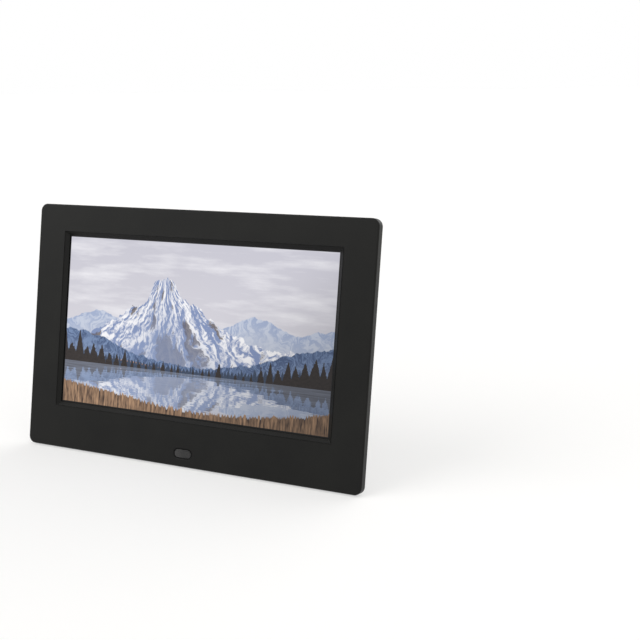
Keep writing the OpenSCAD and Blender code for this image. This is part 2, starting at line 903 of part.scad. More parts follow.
module keyhole(x, z, r, slot, end_x, end_z) {
  slab(panel_inner_y - eps, case_depth + over) {
    translate([x, z]) circle(r = r);
    translate([end_x, end_z]) circle(r = slot / 2);
    if (end_z > z)
      translate([x - slot / 2, z]) square([slot, end_z - z]);
    else
      translate([end_x, z - slot / 2]) square([x - end_x, slot]);
  }
}

module pocket_walls(p) {
  w = pocket_wall;
  box(p[0] - w, p[1] + w, panel_inner_y - pocket_deep - pocket_floor, panel_inner_y + eps,
      p[2] - w, p[3] + w);
}

module pocket_hollow(p) {
  box(p[0], p[1], panel_inner_y - pocket_deep, panel_inner_y + eps, p[2], p[3]);
}

// Walls round a plug's way in, for a recess of that half-width
module port_block(x, half) {
  box(x - half - recess_side, x + half + recess_side, recess_y - recess_floor, slope_y,
      bottom_z - recess_len, bottom_z + wall);
}

module port_recess(x, half) {
  box(x - half, x + half, recess_y, case_depth + over, bottom_z - recess_open, bottom_z);
  box(x - half, x + half, slope_y, case_depth + over, bottom_z - over, bottom_z + recess_notch);
}

// Opening in the panel's lower wall that a socket's body looks through
module port_window(x, w, t) {
  box(x - w / 2 - fit, x + w / 2 + fit, board_y - fit, board_y + t + fit,
      bottom_z - over, bottom_z + 2 * wall);
}

module rear_cover() {
  usb_half = grip_w / 2;
  jack_half = jack_w / 2 + gap;
  stem_y = knob_y0 + gap;
  color("#26282b") seated() difference() {
    union() {
      difference() {
        union() {
          cover_outside();
          catches(0);
        }
        cover_inside();
      }
      intersection() {
        cover_outside();
        union() {
          press_ribs();
          port_block(usb_x, usb_half);
          port_block(jack_x, jack_half);
        }
      }
      for (p = insert_spots)
        bar(p[0], p[1], insert_r + boss_wall, case_depth - insert_len - boss_floor, panel_inner_y + eps);
      bar(0, leg_z, bush_r + boss_wall, case_depth - bush_len - boss_floor, panel_inner_y + eps);
      for (p = post_spots)
        bar(p[0], p[1], post_r, board_y, panel_inner_y + eps);
      pocket_walls(upper_pocket);
      pocket_walls(side_pocket);
      difference() {
        bar(button_x, button_z, guide_r + guide_t, panel_inner_y - guide_len, panel_inner_y + eps);
        bar(button_x, button_z, guide_r, panel_inner_y - guide_len - over, panel_inner_y + over);
      }
    }
    pocket_hollow(upper_pocket);
    pocket_hollow(side_pocket);
    keyhole(key_x, key_z, key_r, key_slot_w, key_x, key_top - key_slot_w / 2);
    keyhole(side_key_x, side_key_z, side_key_r, side_key_slot_w,
            side_key_end + side_key_slot_w / 2, side_key_z);
    for (p = insert_spots) {
      bar(p[0], p[1], insert_r + hold, case_depth - insert_len - insert_sink, case_depth + over);
      bar(p[0], p[1], insert_flange_r + hold,
          case_depth - insert_sink - insert_flange_t - hold, case_depth + over);
    }
    bar(0, leg_z, bush_r + hold, case_depth - bush_len, case_depth + over);
    for (p = post_spots)
      bar(p[0], p[1], screw_r + hold, board_y - over, board_front_y + screw_len + gap);
    bar(button_x, button_z, button_r + gap, panel_inner_y - over, case_depth + over);
    for (row = [0 : slot_rows - 1], s = [-1, 1])
      translate([speaker_x + s * (slot_len + slot_gap) / 2, 0,
                 speaker_z + (row - (slot_rows - 1) / 2) * slot_pitch])
        slab(panel_inner_y - over, case_depth + over) square([slot_len, slot_w], center = true);
    translate([label_x, 0, label_z])
      slab(case_depth - label_t, case_depth + over)
        round_rect(label_w + 2 * slip, label_h + 2 * slip, label_r + slip);
    port_recess(usb_x, usb_half);
    port_recess(jack_x, jack_half);
    port_window(usb_x, usb_w, usb_t);
    port_window(jack_x, jack_w, jack_t);
    box(knob_left - knob_travel - gap, knob_right + gap, knob_y0 - gap, case_depth + over,
        bottom_z - over, knob_back_z + gap);
    box(stem_x - stem_w / 2 - knob_travel - gap, stem_x + stem_w / 2 + gap,
        stem_y - gap, stem_y + stem_t + gap, bottom_z, bottom_z + 2 * wall);
    box(-eye_board_w / 2 - over, eye_board_w / 2 + over, face_t,
        eye_board_y + eye_board_t + eye_pin_end + fit, eye_board_z0 - over, eye_board_z1 + over);
  }
}

module mount_inserts() {
  top_y = case_depth - insert_sink;
  color("#c99a4b") seated() for (p = insert_spots) difference() {
    union() {
      bar(p[0], p[1], insert_r, top_y - insert_len, top_y);
      bar(p[0], p[1], insert_flange_r, top_y - insert_flange_t, top_y);
    }
    bar(p[0], p[1], insert_bore_r, top_y - insert_len - over, top_y + over);
    cone(p[0], p[1], insert_bore_r, top_y - insert_lead, insert_bore_r + insert_lead, top_y + eps);
  }
}

module leg_bush() {
  color("#c99a4b") seated() difference() {
    bar(0, leg_z, bush_r, case_depth - bush_len, case_depth);
    bar(0, leg_z, bush_bore_r, case_depth - bush_len - over, case_depth + over);
  }
}

module rating_label() {
  color("#131314") seated() translate([label_x, 0, label_z])
    slab(case_depth - label_t, case_depth) round_rect(label_w, label_h, label_r);
}

// ---- leg ----

module stand_leg() {
  neck_y = case_depth + leg_len - tip_len;
  color("#1a1a1b") seated() difference() {
    union() {
      cone(0, leg_z, leg_r - leg_ease, case_depth, leg_r, case_depth + leg_ease);
      bar(0, leg_z, leg_r, case_depth + leg_ease - eps, neck_y);
      bar(0, leg_z, neck_r, neck_y - eps, case_depth + neck_end);
    }
    bar(0, leg_z, stud_r + hold, case_depth - over, case_depth + stud_in_leg);
  }
}

module leg_stud() {
  start_y = case_depth - stud_turns * stud_pitch;
  crest = [0.5 - stud_flat, 0.5 + stud_flat] * stud_pitch;
  color("#b9bcc0") seated() {
    for (i = [0 : stud_turns - 1]) {
      y = start_y + i * stud_pitch;
      cone(0, leg_z, stud_root_r, y, stud_r, y + crest[0]);
      bar(0, leg_z, stud_r, y + crest[0] - eps, y + crest[1]);
      cone(0, leg_z, stud_r, y + crest[1] - eps, stud_root_r, y + stud_pitch);
      bar(0, leg_z, stud_root_r - hold, y, y + stud_pitch + eps);
    }
    bar(0, leg_z, stud_r, case_depth - eps, case_depth + stud_in_leg - slip);
  }
}

module leg_tip() {
  start_y = case_depth + leg_len - tip_len;
  dome_y = case_depth + leg_len - tip_r;
  color("#0f0f10") seated() difference() {
    union() {
      cone(0, leg_z, tip_r - leg_ease, start_y, tip_r, start_y + 2 * leg_ease);
      bar(0, leg_z, tip_r, start_y + 2 * leg_ease - eps, dome_y);
      translate([0, dome_y, leg_z]) sphere(r = tip_r);
    }
    bar(0, leg_z, neck_r + hold, start_y - over, case_depth + neck_end);
  }
}

front_bezel();
remote_window();
remote_receiver();
remote_board();
remote_ribbon();
screen_gasket();
screen_glass();
screen_backlight();
screen_tray();
screen_ribbon();
ribbon_socket();
main_board();
main_chips();
board_capacitors();
board_coil();
board_screws();
usb_shell();
usb_tongue();
usb_contacts();
power_jack();
jack_pin();
switch_body();
switch_knob();
button_switch();
power_button();
speaker_frame();
speaker_cone();
speaker_magnet();
speaker_wires();
speaker_plug();
rear_cover();
mount_inserts();
leg_bush();
rating_label();
stand_leg();
leg_stud();
leg_tip();
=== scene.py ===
import json
import math

import bmesh
import bpy
from mathutils import Matrix, Vector


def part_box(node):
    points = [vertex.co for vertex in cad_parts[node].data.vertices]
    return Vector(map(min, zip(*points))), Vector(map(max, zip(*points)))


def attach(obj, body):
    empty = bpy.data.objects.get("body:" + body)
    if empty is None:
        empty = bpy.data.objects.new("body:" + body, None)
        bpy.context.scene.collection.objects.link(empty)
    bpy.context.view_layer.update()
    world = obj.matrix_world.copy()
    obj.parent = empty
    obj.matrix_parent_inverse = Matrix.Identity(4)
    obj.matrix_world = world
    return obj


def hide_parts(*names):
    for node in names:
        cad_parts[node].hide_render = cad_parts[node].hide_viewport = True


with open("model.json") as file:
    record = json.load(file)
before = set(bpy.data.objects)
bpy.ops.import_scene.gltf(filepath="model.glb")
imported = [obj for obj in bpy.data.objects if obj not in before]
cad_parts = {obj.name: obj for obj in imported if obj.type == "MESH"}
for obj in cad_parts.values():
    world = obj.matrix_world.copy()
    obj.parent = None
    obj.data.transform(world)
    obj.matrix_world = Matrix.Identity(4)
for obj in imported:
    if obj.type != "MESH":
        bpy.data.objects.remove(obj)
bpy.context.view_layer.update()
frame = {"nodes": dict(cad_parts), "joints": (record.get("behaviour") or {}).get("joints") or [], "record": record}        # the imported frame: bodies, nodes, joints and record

nodes = frame["nodes"]
mm = 0.001

# The leg's joint points straight out of the back panel, so it gives the case's lean
legJoint = next(joint for joint in frame["joints"] if joint["name"] == "leg_lift_off")
outward = Vector(legJoint["axis"]).normalized()
across = Vector((1, 0, 0))
upward = across.cross(outward)
lean = math.atan2(-outward.z, outward.y)
caseTurn = Matrix((across, outward, upward)).transposed()

# Spots on the case in mm: x across, y from the front face to the back, z up the face
caseSpots = {
    "panelDepth": 16.8,             # back panel, behind the front face
    "label": (-14.4, 16.7, -0.5),   # middle of the rating label
    "labelSize": (48.3, 26.3),
    "picture": (0, 2.2, 4.1),       # middle of the picture, on the glass
    "pictureSize": (154.2, 85.9),
    "window": (0, -56.9),           # x and z of the remote window's middle
    "windowSpan": 5.5,              # straight part of the window
    "windowRadius": 2.15,
    "leg": (0, -38.5),              # x and z of the leg's root
}
labelLow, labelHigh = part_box("rating_label")
seat = (labelLow + labelHigh) / 2 - caseTurn @ (Vector(caseSpots["label"]) * mm)


# a point of the case in mm, as a world point in metres
def casePoint(x, y, z):
    return seat + caseTurn @ (Vector((x, y, z)) * mm)


# a world point in metres, as a point of the case in mm
def caseSpot(point):
    return caseTurn.transposed() @ (point - seat) / mm


print("case axes found, lean %.2f degrees" % math.degrees(lean))


# sRGB hex to the linear colour that the shaders take
def linear(hexText):
    parts = [int(hexText[i:i + 2], 16) / 255 for i in (1, 3, 5)]
    flat = [c / 12.92 if c <= 0.04045 else ((c + 0.055) / 1.055) ** 2.4 for c in parts]
    return (*flat, 1.0)


# adds one node: for each socket a plain value, or the node or socket that feeds it
def addNode(tree, kind, sockets=None, **settings):
    node = tree.nodes.new("ShaderNode" + kind)
    for key, value in settings.items():
        setattr(node, key, value)
    for key, value in (sockets or {}).items():
        if isinstance(value, bpy.types.Node):
            value = next(s for s in value.outputs if s.enabled)
        if isinstance(value, bpy.types.NodeSocket):
            tree.links.new(value, node.inputs[key])
        else:
            node.inputs[key].default_value = value
    return node


# a new material, its shader, and its surface point in mm on the case's axes
def startMaterial(name):
    material = bpy.data.materials.new(name)
    material.use_nodes = True
    tree = material.node_tree
    shader = tree.nodes["Principled BSDF"]
    place = addNode(tree, "TexCoord")
    spot = addNode(tree, "Mapping", {"Vector": place.outputs["Object"], "Location": seat,
                                     "Rotation": (-lean, 0, 0), "Scale": (mm, mm, mm)},
                   vector_type="TEXTURE")
    return material, tree, shader, spot.outputs["Vector"]


# Two colours drift over a wide scale; a fine grain moves the roughness and the bump.
# grain and drift are in mm, bump is the grain's height in mm, stretch makes the grain run one way.
def grainFinish(name, look):
    material, tree, shader, spot = startMaterial(name)
    lay = addNode(tree, "Mapping", {"Vector": spot, "Scale": look.get("stretch", (1, 1, 1))})
    grain = addNode(tree, "TexNoise", {"Vector": lay, "Scale": 1 / look["grain"], "Detail": 3,
                                       "Roughness": 0.55})
    drift = addNode(tree, "TexNoise", {"Vector": spot, "Scale": 1 / look.get("drift", 18),
                                       "Detail": 2})
    both = addNode(tree, "Math", {0: drift, 1: grain}, operation="ADD")
    share = addNode(tree, "MapRange", {"Value": both, "From Min": 0.75, "From Max": 1.25})
    colour = addNode(tree, "Mix", {0: share, 6: linear(look["dark"]), 7: linear(look["light"])},
                     data_type="RGBA")
    low, high = look["rough"]
    rough = addNode(tree, "MapRange", {"Value": grain, "From Min": 0.3, "From Max": 0.7,
                                       "To Min": low, "To Max": high})
    bump = addNode(tree, "Bump", {"Height": grain, "Strength": 1, "Distance": look["bump"] * mm})
    tree.links.new(colour.outputs[2], shader.inputs["Base Color"])
    tree.links.new(rough.outputs[0], shader.inputs["Roughness"])
    tree.links.new(bump.outputs[0], shader.inputs["Normal"])
    for socket, value in look.get("shader", {}).items():
        shader.inputs[socket].default_value = value
    return material


# lays a colour over a finished material's own, where mask is 1
def overlayColour(material, mask, hexText):
    tree = material.node_tree
    socket = tree.nodes["Principled BSDF"].inputs["Base Color"]
    below = socket.links[0].from_socket
    mixed = addNode(tree, "Mix", {0: mask, 6: below, 7: linear(hexText)}, data_type="RGBA")
    tree.links.new(mixed.outputs[2], socket)


# how far a spot lies from the remote window's middle line and to its side, in mm
def windowDistance(tree, spot):
    x, z = caseSpots["window"]
    parts = addNode(tree, "SeparateXYZ", {0: spot})
    side = addNode(tree, "Math", {0: parts.outputs[0], 1: x}, operation="SUBTRACT")
    away = addNode(tree, "Math", {0: side}, operation="ABSOLUTE")
    past = addNode(tree, "Math", {0: away, 1: caseSpots["windowSpan"] / 2}, operation="SUBTRACT")
    pastEnd = addNode(tree, "Math", {0: past, 1: 0.0}, operation="MAXIMUM")
    above = addNode(tree, "Math", {0: parts.outputs[2], 1: z}, operation="SUBTRACT")
    flat = addNode(tree, "CombineXYZ", {0: pastEnd, 1: above, 2: 0.0})
    away = addNode(tree, "VectorMath", {0: flat}, operation="LENGTH")
    return away.outputs["Value"], side.outputs[0]


seamGap = 0.002 * mm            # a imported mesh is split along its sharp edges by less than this
flatAngle = math.radians(1)     # neighbours within this angle count as one flat face
evenWeight = 60                 # how far the larger face wins where shading is blended


# large faces keep their flat shading, and rounded edges blend between them
def evenShading(piece):
    even = piece.modifiers.new("evenShading", "WEIGHTED_NORMAL")
    even.weight = evenWeight


# gives a CAD node its finish and, where edge is set, rounds its edges by that radius in mm
def dress(nodeName, material, edge=0, segments=2, angle=32):
    piece = nodes[nodeName]
    piece.data.materials[0] = material
    if edge:
        weld = piece.modifiers.new("weldSeams", "WELD")
        weld.merge_threshold = seamGap
        flat = piece.modifiers.new("mergeFlats", "DECIMATE")
        flat.decimate_type = "DISSOLVE"
        flat.angle_limit = flatAngle
        ease = piece.modifiers.new("easeEdges", "BEVEL")
        ease.width = edge * mm
        ease.segments = segments
        ease.limit_method = "ANGLE"
        ease.angle_limit = math.radians(angle)
        ease.use_clamp_overlap = False
        ease.loop_slide = False
        evenShading(piece)
    return piece


# a mesh piece made in the world frame, riding on a body
def addPiece(name, mesh, material, body, smoothBelow=0):
    made = bpy.data.meshes.new(name)
    bmesh.ops.recalc_face_normals(mesh, faces=mesh.faces)
    if smoothBelow:
        for face in mesh.faces:
            face.smooth = True
        for edge in mesh.edges:
            edge.smooth = edge.calc_face_angle(0) < math.radians(smoothBelow)
    mesh.to_mesh(made)
    mesh.free()
    made.materials.append(material)
    piece = bpy.data.objects.new(name, made)
    bpy.context.scene.collection.objects.link(piece)
    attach(piece, body)
    return piece


print("helpers ready")

# ABS moulded against a finely sparked tool: a satin black with a soft, wide sheen
bezelLook = {"dark": "#121211", "light": "#191917", "grain": 0.5, "drift": 22,
             "rough": (0.36, 0.46), "bump": 0.006, "shader": {"IOR": 1.24},
             "ring": 0.5, "ringFrom": 0.05, "ringTo": -0.1, "ringShadeColour": "#040404"}
absSatinBlack = grainFinish("absSatinBlackMoulded", bezelLook)

# painted shade: the bezel's colour is darkened in a ring round the remote window, for the shade in
# its countersink
tree = absSatinBlack.node_tree
away, _ = windowDistance(tree, tree.nodes["Mapping"].outputs["Vector"])
ringEdge = caseSpots["windowRadius"] + bezelLook["ring"]
ringShadeMask = addNode(tree, "MapRange", {"Value": away, "From Min": ringEdge + bezelLook["ringFrom"],
                                      "From Max": ringEdge + bezelLook["ringTo"]})
overlayColour(absSatinBlack, ringShadeMask, bezelLook["ringShadeColour"])
dress("front_bezel", absSatinBlack, edge=0.2)

# ABS from a second tool with a tighter polish: a blue-grey black that blurs what stands on it
coverLook = {"dark": "#16181a", "light": "#1d1f21", "grain": 0.45, "drift": 26,
             "rough": (0.34, 0.42), "bump": 0.004,
             "shader": {"IOR": 1.38, "Specular Tint": linear("#f3f6fa")},
             "easeRadius": 0.22, "sharpFrom": 32, "cornerX": 88.5, "cornerZ": 55.5,
             "cornerDepth": 6.5}
absCharcoal = grainFinish("absCharcoalMoulded", coverLook)


# the cover's own solid with its edges rounded, apart from the corners that the rim hides
def makeEasedCover():
    mesh = bmesh.new()
    mesh.from_mesh(nodes["rear_cover"].data)
    bmesh.ops.remove_doubles(mesh, verts=mesh.verts, dist=seamGap)
    bmesh.ops.dissolve_limit(mesh, angle_limit=flatAngle, verts=mesh.verts, edges=mesh.edges)
    sharp = []
    for edge in mesh.edges:
        x, y, z = caseSpot((edge.verts[0].co + edge.verts[1].co) / 2)
        hidden = (abs(x) > coverLook["cornerX"] and abs(z) > coverLook["cornerZ"]
                  and y < coverLook["cornerDepth"])
        if not hidden and edge.calc_face_angle(0) > math.radians(coverLook["sharpFrom"]):
            sharp.append(edge)
    bmesh.ops.bevel(mesh, geom=sharp, offset=coverLook["easeRadius"] * mm, offset_type="OFFSET",
                    segments=2, profile=0.5, affect="EDGES", clamp_overlap=False)
    return mesh


rearCover = addPiece("rearCoverEased", makeEasedCover(), absCharcoal, "case")
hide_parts("rear_cover")
evenShading(rearCover)
print("bezel and rear cover dressed")

# What the screen shows, and its glass. line is a skyline, as (across, up) shares, rough how far
# it breaks up, beats how many bumps cross the picture, fade how fast it pales downwards, peak the
# point that its gullies run down from, and folds how many there are.
screenLook = {
    "hills": [          # from far to near
        {"line": [(0, .50), (.14, .56), (.26, .52), (.55, .50), (.74, .60), (.86, .54), (1, .57)],
         "rough": .035, "beats": 12, "fade": .16, "lit": "#c3cbdd", "shade": "#9fadcb",
         "foot": "#c6cbd8", "peak": (.5, 1.6), "folds": 26},
        {"line": [(0, .36), (.13, .45), (.24, .58), (.31, .64), (.38, .80), (.44, .70), (.53, .62),
                  (.63, .50), (.8, .44), (1, .38)],
         "rough": .05, "beats": 22, "fade": .42, "lit": "#f8f7f9", "shade": "#7f90b8",
         "foot": "#8d9cbd", "peak": (.38, .86), "folds": 11, "rock": "#50423f"},
        {"line": [(0, .45), (.1, .43), (.3, .33), (.5, .295), (.7, .33), (.88, .43), (1, .47)],
         "rough": .02, "beats": 30, "fade": .2, "lit": "#7288ad", "shade": "#43577c",
         "foot": "#8b9cbb", "peak": (.5, 1.4), "folds": 60},
        {"line": [(0, .275), (.2, .29), (.45, .262), (.7, .268), (.9, .30), (1, .31)],
         "rough": .01, "beats": 20, "fade": .05, "lit": "#cda385", "shade": "#a47a5e",
         "foot": "#dcbfa6", "peak": (.5, 1.2), "folds": 70},
    ],
    "treeBelts": [
        {"line": [(0, .30), (.22, .275), (.4, .255), (.62, .257), (.84, .285), (1, .305)],
         "count": 84, "tall": .045, "colour": "#35435a"},
        {"line": [(0, .285), (.12, .262), (.24, .20), (.76, .20), (.86, .262), (1, .29)],
         "count": 33, "tall": .15, "colour": "#2b2422"},
    ],
    # shares of a tree's height or the belt's count; shade is its darkest and lightest
    "trees": {"wobble": 0.4, "shortest": 0.7, "tallest": 2.0, "boughs": 2.5, "ragged": 0.35,
              "shade": (0.75, 1.35)},
    # gullies, the bare rock in them and the haze at the hills' feet
    "relief": {"spread": 1.8, "wander": 0.3, "wanders": 7, "along": 0.5, "down": 5.0,
               "lightFrom": (0.16, 0.05, 0.0), "dark": -0.035, "bright": 0.05, "bareHigh": 0.60,
               "bareLow": 0.47, "rockEdge": 0.04, "rockMost": 0.85, "hazeMost": 0.6},
    # how far apart the noise of one hill or belt and the next is read
    "apart": {"folds": 3.1, "bumps": 7.3, "trees": 17.0},
    "skyLow": "#dddadf", "skyHigh": "#c6c5d0", "cloud": "#f1f0f4", "waterline": .25,
    "water": "#a9b4cb", "bankLight": "#b99474", "bankDark": "#3a2b25",
    "dusk": .46, "duskSlant": 0.7, "duskFrom": 0.8, "duskTo": 1.7,
    # how many cross the picture's width, and how many stack up its height
    "ripples": (8.0, 120.0), "clouds": (3.0, 10.0, 1.0), "blades": (130.0, 9.0),
    "shake": 0.03,              # how far a ripple throws the mirrored view
    "mirrorStretch": 1.5,       # the mirrored view is drawn out downwards
    "veil": (0.18, 0.42),       # how much of the water's own colour lies over the view
    "bank": [(0, .13), (.22, .085), (.5, .035), (.78, .06), (1, .12)],
    "tufts": (-0.015, 0.022),   # how far blades fall and rise round the bank's line
    "softCrest": (-0.002, 0.003), "softEdge": 0.05,
    "base": "#0a0a0b", "rough": (0.34, 0.42), "grain": 0.3, "ior": 1.3,
}


# a smooth line through points across the picture
def curveAcross(tree, u, line):
    curve = addNode(tree, "FloatCurve", {"Value": u})
    points = curve.mapping.curves[0].points
    points[0].location, points[1].location = line[0], line[-1]
    for point in line[1:-1]:
        points.new(*point)
    curve.mapping.update()
    return curve.outputs[0]


# light and shade of folds that run down from a hill's peak: 1 on the lit sides, 0 in the shade
def hillRelief(tree, u, up, hill, index):
    look = screenLook["relief"]
    peakU, peakV = hill["peak"]
    side = addNode(tree, "Math", {0: u, 1: peakU}, operation="SUBTRACT")
    wide = addNode(tree, "Math", {0: side, 1: look["spread"]}, operation="MULTIPLY")
    down = addNode(tree, "Math", {0: peakV, 1: up}, operation="SUBTRACT")
    turn = addNode(tree, "Math", {0: wide, 1: down}, operation="ARCTAN2")
    flat = addNode(tree, "CombineXYZ", {0: wide, 1: down, 2: 0.0})
    far = addNode(tree, "VectorMath", {0: flat}, operation="LENGTH")
    wander = addNode(tree, "TexNoise", {"Vector": flat, "Scale": look["wanders"], "Detail": 3})
    bent = addNode(tree, "Math", {0: wander, 1: look["wander"], 2: turn}, operation="MULTIPLY_ADD")
    lay = addNode(tree, "CombineXYZ", {0: bent, 1: far.outputs["Value"],
                                       2: index * screenLook["apart"]["folds"]})
    counts = (hill["folds"] * look["along"], look["down"], 1.0)
    folds = addNode(tree, "VectorMath", {0: lay, 1: counts}, operation="MULTIPLY")
    moved = addNode(tree, "VectorMath", {0: folds, 1: look["lightFrom"]}, operation="ADD")
    heights = [addNode(tree, "TexNoise", {"Vector": lays, "Scale": 1, "Detail": 8,
                                          "Roughness": 0.66}) for lays in (folds, moved)]
    slope = addNode(tree, "Math", {0: heights[0], 1: heights[1]}, operation="SUBTRACT")
    lit = addNode(tree, "MapRange", {"Value": slope, "From Min": look["dark"],
                                     "From Max": look["bright"]})
    return lit.outputs[0], heights[0].outputs[0]


# a spot of the picture, scaled so that so many units cross it and so many stack up it
def stretched(tree, u, v, counts):
    scaled = [addNode(tree, "Math", {0: share, 1: count}, operation="MULTIPLY")
              for share, count in zip((u, v), counts)]
    return addNode(tree, "CombineXYZ", {0: scaled[0], 1: scaled[1]})


# the whole picture, as the colour to glow with at each spot of the glass
def landscapePicture(tree, spot):
    look = screenLook
    trees, relief, apart = look["trees"], look["relief"], look["apart"]
    width, height = caseSpots["pictureSize"]
    xMid, _, zMid = caseSpots["picture"]
    crestLow, crestHigh = look["softCrest"]
    parts = addNode(tree, "SeparateXYZ", {0: spot})
    u = addNode(tree, "MapRange", {"Value": parts.outputs[0], "From Min": xMid - width / 2,
                                   "From Max": xMid + width / 2}, clamp=False).outputs[0]
    v = addNode(tree, "MapRange", {"Value": parts.outputs[2], "From Min": zMid - height / 2,
                                   "From Max": zMid + height / 2}, clamp=False).outputs[0]
    # below the waterline the same view hangs upside down, and flat ripples break it
    ripple = stretched(tree, u, v, look["ripples"])
    ripples = addNode(tree, "TexNoise", {"Vector": ripple, "Scale": 1, "Detail": 4,
                                         "Roughness": 0.6})
    under = addNode(tree, "Math", {0: look["waterline"], 1: v}, operation="SUBTRACT")
    water = addNode(tree, "Math", {0: under, 1: 0.0}, operation="GREATER_THAN")
    shake = addNode(tree, "MapRange", {"Value": ripples, "From Min": 0.25, "From Max": 0.75,
                                       "To Min": -look["shake"], "To Max": look["shake"]})
    hung = addNode(tree, "Math", {0: under, 1: look["mirrorStretch"],
                                  2: look["waterline"]}, operation="MULTIPLY_ADD")
    broken = addNode(tree, "Math", {0: hung, 1: shake}, operation="ADD")
    up = addNode(tree, "Mix", {0: water, 2: v, 3: broken}).outputs[0]
    # sky with flat clouds
    sky = addNode(tree, "Mix", {0: up, 6: linear(look["skyLow"]),
                                7: linear(look["skyHigh"])}, data_type="RGBA")
    place = addNode(tree, "CombineXYZ", {0: u, 1: up, 2: 0.0})
    clouds = addNode(tree, "VectorMath", {0: place, 1: look["clouds"]}, operation="MULTIPLY")
    puffs = addNode(tree, "TexNoise", {"Vector": clouds, "Scale": 1, "Detail": 7,
                                       "Roughness": 0.58})
    cloud = addNode(tree, "MapRange", {"Value": puffs, "From Min": 0.47, "From Max": 0.72,
                                       "To Max": 0.8})
    picture = addNode(tree, "Mix", {0: cloud, 6: sky, 7: linear(look["cloud"])}, data_type="RGBA")
    for index, hill in enumerate(look["hills"]):
        beat = addNode(tree, "Math", {0: u, 1: hill["beats"]}, operation="MULTIPLY")
        along = addNode(tree, "CombineXYZ", {0: beat, 1: index * apart["bumps"], 2: 0.0})
        bumps = addNode(tree, "TexNoise", {"Vector": along, "Scale": 1, "Detail": 7,
                                           "Roughness": 0.6})
        lift = addNode(tree, "MapRange", {"Value": bumps, "From Min": 0.2, "From Max": 0.8,
                                          "To Min": -hill["rough"], "To Max": hill["rough"]})
        crest = addNode(tree, "Math", {0: curveAcross(tree, u, hill["line"]), 1: lift},
                        operation="ADD")
        depth = addNode(tree, "Math", {0: crest, 1: up}, operation="SUBTRACT")
        mask = addNode(tree, "MapRange", {"Value": depth, "From Min": crestLow,
                                          "From Max": crestHigh})
        lit, folds = hillRelief(tree, u, up, hill, index)
        tone = addNode(tree, "Mix", {0: lit, 6: linear(hill["shade"]), 7: linear(hill["lit"])},
                       data_type="RGBA")
        if "rock" in hill:       # bare rock shows through the snow, more of it lower down
            bare = addNode(tree, "MapRange", {"Value": depth, "From Max": hill["fade"],
                                              "To Min": relief["bareHigh"],
                                              "To Max": relief["bareLow"]})
            rock = addNode(tree, "Math", {0: folds, 1: bare}, operation="SUBTRACT")
            rockMask = addNode(tree, "MapRange", {"Value": rock, "From Max": relief["rockEdge"],
                                                  "To Max": relief["rockMost"]})
            tone = addNode(tree, "Mix", {0: rockMask, 6: tone, 7: linear(hill["rock"])},
                           data_type="RGBA")
        pale = addNode(tree, "MapRange", {"Value": depth, "From Max": hill["fade"],
                                          "To Max": relief["hazeMost"]},
                       interpolation_type="SMOOTHSTEP")
        hazy = addNode(tree, "Mix", {0: pale, 6: tone, 7: linear(hill["foot"])}, data_type="RGBA")
        picture = addNode(tree, "Mix", {0: mask, 6: picture, 7: hazy}, data_type="RGBA")
    for index, belt in enumerate(look["treeBelts"]):
        beat = addNode(tree, "Math", {0: u, 1: belt["count"] * trees["wobble"]},
                       operation="MULTIPLY")
        wobble = addNode(tree, "TexNoise", {"W": beat, "Scale": 1}, noise_dimensions="1D")
        cell = addNode(tree, "Math", {0: u, 1: belt["count"], 2: wobble}, operation="MULTIPLY_ADD")
        spire = addNode(tree, "Math", {0: cell, 1: 0.5}, operation="PINGPONG")
        whole = addNode(tree, "Math", {0: cell, 1: index * apart["trees"]}, operation="ADD")
        number = addNode(tree, "Math", {0: whole}, operation="FLOOR")
        size = addNode(tree, "TexWhiteNoise", {"W": number}, noise_dimensions="1D")
        tall = addNode(tree, "MapRange", {"Value": size, "To Min": belt["tall"] * trees["shortest"],
                                          "To Max": belt["tall"] * trees["tallest"]})
        spires = addNode(tree, "Math", {0: spire, 1: tall}, operation="MULTIPLY")
        boughs = addNode(tree, "TexNoise", {"Vector": place, "Detail": 2,
                                            "Scale": belt["count"] * trees["boughs"]})
        ragged = addNode(tree, "Math", {0: boughs, 1: belt["tall"] * trees["ragged"], 2: spires},
                         operation="MULTIPLY_ADD")
        tops = addNode(tree, "Math", {0: curveAcross(tree, u, belt["line"]), 1: ragged},
                       operation="ADD")
        depth = addNode(tree, "Math", {0: tops, 1: up}, operation="SUBTRACT")
        mask = addNode(tree, "MapRange", {"Value": depth, "From Min": crestLow,
                                          "From Max": crestHigh})
        darkest, lightest = trees["shade"]
        shade = addNode(tree, "MapRange", {"Value": boughs, "From Min": 0.3, "From Max": 0.7,
                                           "To Min": darkest, "To Max": lightest})
        needles = addNode(tree, "VectorMath", {0: linear(belt["colour"])[:3], 3: shade},
                          operation="SCALE")
        picture = addNode(tree, "Mix", {0: mask, 6: picture, 7: needles}, data_type="RGBA")
    # the water dulls what it mirrors
    veil = addNode(tree, "MapRange", {"Value": ripples, "From Min": 0.3, "From Max": 0.7,
                                      "To Min": look["veil"][0], "To Max": look["veil"][1]})
    wet = addNode(tree, "Math", {0: veil, 1: water}, operation="MULTIPLY")
    picture = addNode(tree, "Mix", {0: wet, 6: picture, 7: linear(look["water"])}, data_type="RGBA")
